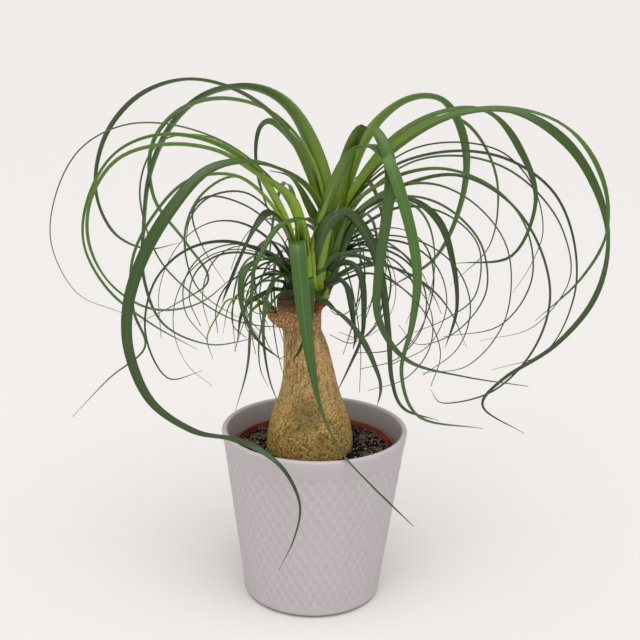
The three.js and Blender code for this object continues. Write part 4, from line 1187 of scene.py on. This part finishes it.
def blade_values(leaf, luck):
    """A leaf's line and, at each of its points, its half width, two directions and values for colours."""
    points, angles = leaf["course"] if "course" in leaf else leaf_course(leaf)
    gaps = len(points) - 1
    steps = BLADE_STEPS_PER_GAP * gaps
    tone = luck.uniform(0, 1)
    share = np.arange(steps + 1) / steps
    line = np.array([curve_at(points, part * gaps) for part in share])
    rows = {"across": [], "above": []}
    for part, at in zip(share, line):
        place = part * gaps
        ahead = curve_at(points, min(place + NUDGE, gaps)) - curve_at(points, max(place - NUDGE, 0))
        ahead /= np.linalg.norm(ahead)
        gap = min(int(place), gaps - 1)
        angle = between(angles[gap:gap + 2], place - gap)
        level = pointing(angle + math.pi / 2)
        level = level - ahead * level.dot(ahead)
        level /= np.linalg.norm(level)
        out = np.linalg.norm(at - points[0])
        turn = math.radians(turn_at(leaf["turns"], part)) * (1 - math.exp(-(out / TURN_EASE) ** 2))
        across = level * math.cos(turn) + np.cross(level, ahead) * math.sin(turn)
        rows["across"].append(across)
        rows["above"].append(np.cross(ahead, across))
    run = np.concatenate([[0], np.cumsum(np.linalg.norm(np.diff(line, axis=0), axis=1))])
    half = 0.5 * leaf["width"] * (1 - share) ** TAPER
    clasp = max(between(CLASP_HALF, min(leaf["width"] / FULL_WIDTH, 1)) - half[0], 0)
    half += clasp * np.exp(-(run / CLASP_LENGTH) ** 2)
    tail = min(TAIL_LENGTH, TAIL_SHARE * run[-1])
    kept = TAIL_WIDTHS.get(leaf.get("crown"), 1.0)
    broad = np.clip((run[-1] - run - TAIL_START * tail) / (TAIL_EASE * tail), 0, 1)
    narrowed = half * (kept + (1 - kept) * broad * broad * (3 - 2 * broad))
    half = np.maximum(narrowed, np.minimum(half, TAIL_HALF))
    rows["half"] = np.maximum(half, THREAD * (1 - THREAD_TAPER * share)) * MM
    rows["fold"] = FOLD_TIP + (FOLD_ROOT - FOLD_TIP) * np.exp(-run / FOLD_LENGTH)
    rows["glow"] = leaf["youth"] * np.exp(-(run / GLOW_LENGTH) ** GLOW_FALL)
    rows["age"] = np.clip(between(leaf["ages"], tone) + AGING * share, 0, 1)
    rows["dry"] = np.clip((share - luck.uniform(*DRY_FROM)) / DRY_SHARE, 0, 1)
    rows["tone"] = np.full(steps + 1, tone)
    return line, {name: np.array(row) for name, row in rows.items()}


# Every line is swept with a closed ring whose points know how far across the blade and how high they are.
# They are set out from the line by the blade's own directions, so a blade twists only as its values say.
def blade_tree():
    tree, given = geometry_tree("blades along lines", {"Sides": BLADE_SIDES, "Thickness": THICKNESS * MM})
    curve = add(tree, "GeometryNodeMeshToCurve", {"Mesh": given["Geometry"]})
    ring = add(tree, "GeometryNodeCurvePrimitiveCircle", {"Resolution": given["Sides"], "Radius": 1.0})
    factor = tree.nodes.new("GeometryNodeSplineParameter").outputs["Factor"]
    turn = add(tree, "ShaderNodeMath", {0: factor, 1: 2 * math.pi}, operation="MULTIPLY")
    kept = ring.outputs["Curve"]
    for name, operation in (("side", "COSINE"), ("lid", "SINE")):
        value = add(tree, "ShaderNodeMath", {0: turn}, operation=operation)
        kept = add(tree, "GeometryNodeStoreNamedAttribute", {"Geometry": kept, "Name": name, "Value": value},
                   data_type="FLOAT", domain="POINT")
    swept = add(tree, "GeometryNodeCurveToMesh",
                {"Curve": curve, "Profile Curve": kept, "Scale": 0.0, "Fill Caps": True})
    values = {}
    for name in ("side", "lid", "half", "fold", "across", "above"):
        kind = "FLOAT_VECTOR" if name in ("across", "above") else "FLOAT"
        node = add(tree, "GeometryNodeInputNamedAttribute", {"Name": name}, data_type=kind)
        values[name] = node.outputs["Attribute"]
    out = add(tree, "ShaderNodeMath", {0: values["side"], 1: values["half"]}, operation="MULTIPLY")
    sideways = add(tree, "ShaderNodeVectorMath", {0: values["across"], "Scale": out}, operation="SCALE")
    spread = add(tree, "ShaderNodeMath", {0: values["side"]}, operation="ABSOLUTE")
    eased = add(tree, "ShaderNodeMath", {0: spread, 1: FOLD_CURVE}, operation="POWER")
    raised = add(tree, "ShaderNodeMath", {0: eased, 1: values["half"]}, operation="MULTIPLY")
    folded = add(tree, "ShaderNodeMath", {0: raised, 1: values["fold"]}, operation="MULTIPLY")
    thick = add(tree, "ShaderNodeMath", {0: values["lid"], 1: given["Thickness"]}, operation="MULTIPLY")
    height = add(tree, "ShaderNodeMath", {0: folded, 1: thick})
    upward = add(tree, "ShaderNodeVectorMath", {0: values["above"], "Scale": height}, operation="SCALE")
    offset = add(tree, "ShaderNodeVectorMath", {0: sideways, 1: upward}, operation="ADD")
    shaped = add(tree, "GeometryNodeSetPosition", {"Geometry": swept, "Offset": offset})
    smooth = add(tree, "GeometryNodeSetShadeSmooth", {"Geometry": shaped})
    close_tree(tree, smooth, given)
    return tree


# A living strap leaf has a waxy skin with fine veins along it. Its young base is yellow-green, the rest mid
# green going dark olive with age, paler below, with pale edges and midrib, and its thread of a tip dries
# grey-brown.
LEAF_YOUNG = "#70a128"
LEAF_GREEN = "#4a712b"
LEAF_OLD = "#1a2610"
LEAF_BELOW = "#587544"
LEAF_BASE = "#a6c81f"
LEAF_EDGE = "#93ab5a"
LEAF_MIDRIB = "#7f9f4e"
LEAF_VEIN = "#20401a"
LEAF_SHADE = "#1f2c12"
LEAF_DRY = "#77705a"
LEAF_VEINS = 34.0
LEAF_CLOUD = 9 * MM


def strap_leaf():
    finish, tree, shader, place = new_finish("waxy strap leaf")
    side, lid, glow, age, dry, tone = [
        add(tree, "ShaderNodeAttribute", attribute_name=name).outputs["Fac"]
        for name in ("side", "lid", "glow", "age", "dry", "tone")]
    spread = add(tree, "ShaderNodeMath", {0: side}, operation="ABSOLUTE")
    veins = add(tree, "ShaderNodeMath", {0: side, 1: LEAF_VEINS}, operation="MULTIPLY")
    lines = add(tree, "ShaderNodeMath", {0: veins}, operation="SINE")
    colour = coated(tree, LEAF_YOUNG, [
        (LEAF_GREEN, age, 0.0, 0.5, 1.0),
        (LEAF_OLD, age, 0.5, 1.0, 1.0),
        (LEAF_BELOW, lid, 0.1, -0.1, 0.4),
        (LEAF_BASE, glow, 0.0, 1.0, 1.0),
        (LEAF_EDGE, spread, 0.9, 1.0, 0.5),
        (LEAF_MIDRIB, spread, 0.1, 0.0, 0.35),
        (LEAF_VEIN, lines, 0.2, 1.0, 0.22),
        (LEAF_SHADE, tone, 0.4, 1.0, 0.6),
        (LEAF_DRY, dry, 0.0, 1.0, 1.0),
    ])
    cloud = add(tree, "ShaderNodeTexNoise", {"Vector": place, "Scale": 1 / LEAF_CLOUD, "Detail": 3.0})
    dull = add(tree, "ShaderNodeMapRange", {"Value": cloud, "To Min": 0.24, "To Max": 0.42})
    shader.inputs["Subsurface Weight"].default_value = 0.08
    shader.inputs["Subsurface Radius"].default_value = (0.6 * MM, 1 * MM, 0.2 * MM)
    bump = add(tree, "ShaderNodeBump", {"Height": lines, "Strength": 0.25, "Distance": 0.2 * MM})
    wire(tree, shader, {"Base Color": colour, "Roughness": dull, "Normal": bump})
    return finish


def leaf_piece(name, leaves, tree, finish, seed):
    """One piece of many blades."""
    luck = np.random.default_rng(seed)
    lines, values = zip(*[blade_values(leaf, luck) for leaf in leaves])
    piece = centre_lines(name, lines, **{key: [one[key] for one in values] for key in values[0]})
    return run_tree(piece, tree, sides=BLADE_SIDES, thickness=THICKNESS * MM, material=finish)


# Sheaths: young leaf bases that stand at the front of each head and close the notch between the two heads.
# Each has a width, a youth and the points that it runs through.
SHEATHS = {
    "left": [[9, 0.9, [[-9, -9, 254], [-7, -10, 268], [-7, -10, 282], [-9, -10, 298], [-13, -10, 314]]]],
    "right": [
        [11, 0.85, [[2, -1, 252], [-2, -6, 264], [-4, -8, 282], [-1, -8, 304], [6, -9, 328],
          [14, -11, 350]]],
        [11, 0.6, [[4, -1, 252], [3, -7, 264], [4, -10, 284], [9, -11, 308], [17, -13, 332]]],
        [10, 0.45, [[5, 0, 254], [9, -5, 268], [13, -6, 288], [20, -8, 312], [29, -11, 334]]],
        [9, 0.35, [[6, 1, 256], [12, -2, 270], [18, -1, 288], [27, -2, 308], [37, -4, 324]]],
    ],
    "side": [],
}
SHEATH_AGES = [0.1, 0.35]


def sheaths_of(crown):
    """Broad young blades along courses of their own, their undersides to the front."""
    return [{"course": (np.array(points, dtype=float), [1.5 * math.pi] * len(points)), "width": width,
             "turns": [0, 0], "youth": youth, "ages": SHEATH_AGES}
            for width, youth, points in SHEATHS[crown]]


# The core of each head is the bundle of clasping leaf bases round the shoot, which the leaves spring from:
# dry and grey on the old left head, green and still growing on the other two.
CORE_LOOKS = {"left": [0.9, 0.0], "right": [0.3, 0.3], "side": [0.2, 0.6]}
CORE_RINGS = 25
CORE_SIDES = 40
CORE_LIFT = 0.3
CORE_FLUTES = 5
CORE_FLUTE = 0.05
CORE_TWIST = 0.35


def core_piece(name, crown, finish):
    core = np.array(CROWN_CORES[crown], dtype=float)
    radii = np.array([[radius, 0, 0] for radius in CORE_RADII[crown]], dtype=float)
    rings = []
    for place in np.linspace(0, 2, CORE_RINGS):
        x, y, z = curve_at(core, place)
        ring = circle(curve_at(radii, place)[0], z + CORE_LIFT * (1 - place / 2), CORE_SIDES)
        angle = np.arctan2(ring[:, 1], ring[:, 0])
        ring[:, :2] *= (1 + CORE_FLUTE * np.sin(CORE_FLUTES * angle + z * CORE_TWIST))[:, None]
        rings.append(ring + [x, y, 0])
    piece = skin(name, rings)
    for value_name, value in zip(("age", "glow"), CORE_LOOKS[crown]):
        mark(piece.data, value_name, [value] * len(piece.data.vertices))
    piece.data.materials.append(finish)
    return piece


# Round each core the feet of fallen leaves stay on as overlapping papery scales: grey-black on the old left
# head, olive with red-brown bracts on the right one. Each head has its number of scales, how high they reach
# and how old they look.
SCALES = {"left": [26, 16, 0.9], "right": [16, 14, 0.25], "side": [4, 5, 0.0]}
SCALE_SEED = 300
SCALE_POINTS = 4
SCALE_SPIRAL = 137.5
SCALE_SCATTER = [-14, 14]
SCALE_WIDTH = [5, 9]
SCALE_HEIGHT = [0.5, 1.0]
SCALE_STAGGER = 0.8
SCALE_SPLAY = [0.4, 3.2]
SCALE_TURN = [-25, 25]


def scales_of(crown):
    """Short blades that stand close round a core, lowest first, in a spiral."""
    count, reach, husk = SCALES[crown]
    luck = np.random.default_rng(SCALE_SEED + count)
    foot = CROWN_CORES[crown][0][2]
    scales = []
    for index in range(count):
        start = foot - 1 + reach * SCALE_STAGGER * index / count
        height = luck.uniform(*SCALE_HEIGHT) * reach
        splay = luck.uniform(*SCALE_SPLAY)
        angle = math.radians(index * SCALE_SPIRAL + luck.uniform(*SCALE_SCATTER))
        points = []
        for share in np.linspace(0, 1, SCALE_POINTS):
            level = start + height * share
            middle, radius = core_at(crown, max(level, foot))
            points.append(np.append(middle[:2], level) + pointing(angle) * (radius + splay * share ** 2))
        scales.append({"course": (np.array(points), [angle] * SCALE_POINTS),
                       "width": luck.uniform(*SCALE_WIDTH), "turns": [0, luck.uniform(*SCALE_TURN)],
                       "youth": 0.0, "ages": [husk, husk]})
    return scales


# Dried leaf feet are papery: olive to grey-black with age, with raised veins, stains in patches, pale torn
# edges and, where they are fresher, some red-brown bracts.
FOOT_OLIVE = "#6b6e33"
FOOT_GREY = "#433c35"
FOOT_STAIN = "#2f2a20"
FOOT_RED = "#7c4428"
FOOT_TORN = "#8d7c5c"
FOOT_PATCH = 4 * MM
FOOT_VEINS = 26.0


def dried_bases():
    finish, tree, shader, place = new_finish("dried papery leaf bases")
    side, age, tone = [add(tree, "ShaderNodeAttribute", attribute_name=name).outputs["Fac"]
                       for name in ("side", "age", "tone")]
    patchy = add(tree, "ShaderNodeTexNoise", {"Vector": place, "Scale": 1 / FOOT_PATCH, "Detail": 3.0})
    fresh = add(tree, "ShaderNodeMath", {0: 1.0, 1: age}, operation="SUBTRACT")
    spread = add(tree, "ShaderNodeMath", {0: side}, operation="ABSOLUTE")
    veins = add(tree, "ShaderNodeMath", {0: side, 1: FOOT_VEINS}, operation="MULTIPLY")
    lines = add(tree, "ShaderNodeMath", {0: veins}, operation="SINE")
    colour = coated(tree, FOOT_OLIVE, [
        (FOOT_GREY, age, 0.0, 1.0, 1.0),
        (FOOT_STAIN, patchy, 0.45, 0.6, 0.7),
        (FOOT_RED, tone, 0.66, 0.72, 0.8, fresh),
        (FOOT_TORN, spread, 0.8, 1.0, 0.6),
    ])
    shader.inputs["Roughness"].default_value = 0.75
    bump = add(tree, "ShaderNodeBump", {"Height": lines, "Strength": 0.5, "Distance": 0.4 * MM})
    wire(tree, shader, {"Base Color": colour, "Normal": bump})
    return finish


TONE_SEEDS = {"left": 113, "right": 101, "side": 102}
CURL_TONE_SEED = 200
FOOT_TONE_SEED = 400

blades = blade_tree()
leaf_finish = strap_leaf()
base_finish = dried_bases()
for seed, (crown, node, slot) in enumerate((("left", "crown_left", "leaf"), ("right", "crown_right", "leaf"),
                                            ("side", "side_shoot", "young_leaf"))):
    mine = [leaf for leaf in laid + ruled if leaf["crown"] == crown] + sheaths_of(crown)
    pieces = [leaf_piece(node + "_leaves", mine, blades, leaf_finish, TONE_SEEDS[crown]),
              core_piece(node + "_core", crown, base_finish if crown == "left" else leaf_finish),
              leaf_piece(node + "_bases", scales_of(crown), blades, base_finish, FOOT_TONE_SEED + seed)]
    thin = [leaf for leaf in curls if leaf["crown"] == crown]
    if thin:
        pieces.append(leaf_piece(node + "_curls", thin, blades, leaf_finish, CURL_TONE_SEED + seed))
    for piece in pieces:
        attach(piece, "root")
    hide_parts(node)


# Studio: a pale floor that runs far back, a wide soft sun, one soft lamp and a bright even surround, with
# the camera where the photograph was taken from: a little above the crowns, looking down on the pot.
CAMERA_PLACE = (17.74, -910.08, 498.15)
CAMERA_PITCH = 16.25
CAMERA_YAW = -0.95
CAMERA_ROLL = 1.14
CAMERA_LENS = 67.5
CAMERA_SENSOR = 36
FLOOR_HALF = 40
FLOOR_PAPER = "#eeeae8"
SURROUND = "#f6f5f4"


def place_camera():
    pitch, yaw, roll = (math.radians(angle) for angle in (CAMERA_PITCH, CAMERA_YAW, CAMERA_ROLL))
    ahead = Vector((math.sin(yaw) * math.cos(pitch), math.cos(yaw) * math.cos(pitch), -math.sin(pitch)))
    level = ahead.cross(Vector((0, 0, 1))).normalized()
    upward = level.cross(ahead)
    right = level * math.cos(roll) + upward * math.sin(roll)
    above = upward * math.cos(roll) - level * math.sin(roll)
    turn = Matrix((right, above, -ahead)).transposed().to_4x4()
    lens = bpy.data.cameras.new("camera")
    lens.lens = CAMERA_LENS
    lens.sensor_width = CAMERA_SENSOR
    lens.sensor_fit = "HORIZONTAL"
    camera = show("camera", lens)
    camera.matrix_world = Matrix.Translation(Vector(CAMERA_PLACE) * MM) @ turn
    bpy.context.scene.camera = camera


def hang_lamp(name, kind, place, target, power, **settings):
    """A lamp of some kind at a place, turned towards a target."""
    light = bpy.data.lights.new(name, kind)
    light.energy = power
    for setting, value in settings.items():
        setattr(light, setting, value)
    lamp = show(name, light)
    lamp.location = place
    lamp.rotation_euler = (Vector(target) - Vector(place)).to_track_quat("-Z", "Y").to_euler()


def pale_floor():
    finish, _, shader, _ = new_finish("pale paper sweep")
    shader.inputs["Base Color"].default_value = linear(FLOOR_PAPER)
    shader.inputs["Roughness"].default_value = 0.8
    mesh = bpy.data.meshes.new("floor")
    corners = [(x * FLOOR_HALF, y * FLOOR_HALF, 0) for x, y in ((-1, -1), (1, -1), (1, 1), (-1, 1))]
    mesh.from_pydata(corners, [], [(0, 1, 2, 3)])
    mesh.materials.append(finish)
    floor = show("floor", mesh)


place_camera()
pale_floor()
hang_lamp("wide_sun", "SUN", (0.12, -0.8, 2.0), (0, 0, 0), 1.75, angle=math.radians(60))
hang_lamp("window", "AREA", (-0.7, -1.3, 1.3), (0, 0, 0.2), 1.6, shape="DISK", size=0.7)
world = bpy.data.worlds.new("bright surround")
world.use_nodes = True
background = world.node_tree.nodes["Background"]
background.inputs["Color"].default_value = linear(SURROUND)
background.inputs["Strength"].default_value = 0.58
bpy.context.scene.world = world
bpy.context.scene.view_settings.view_transform = "Standard"
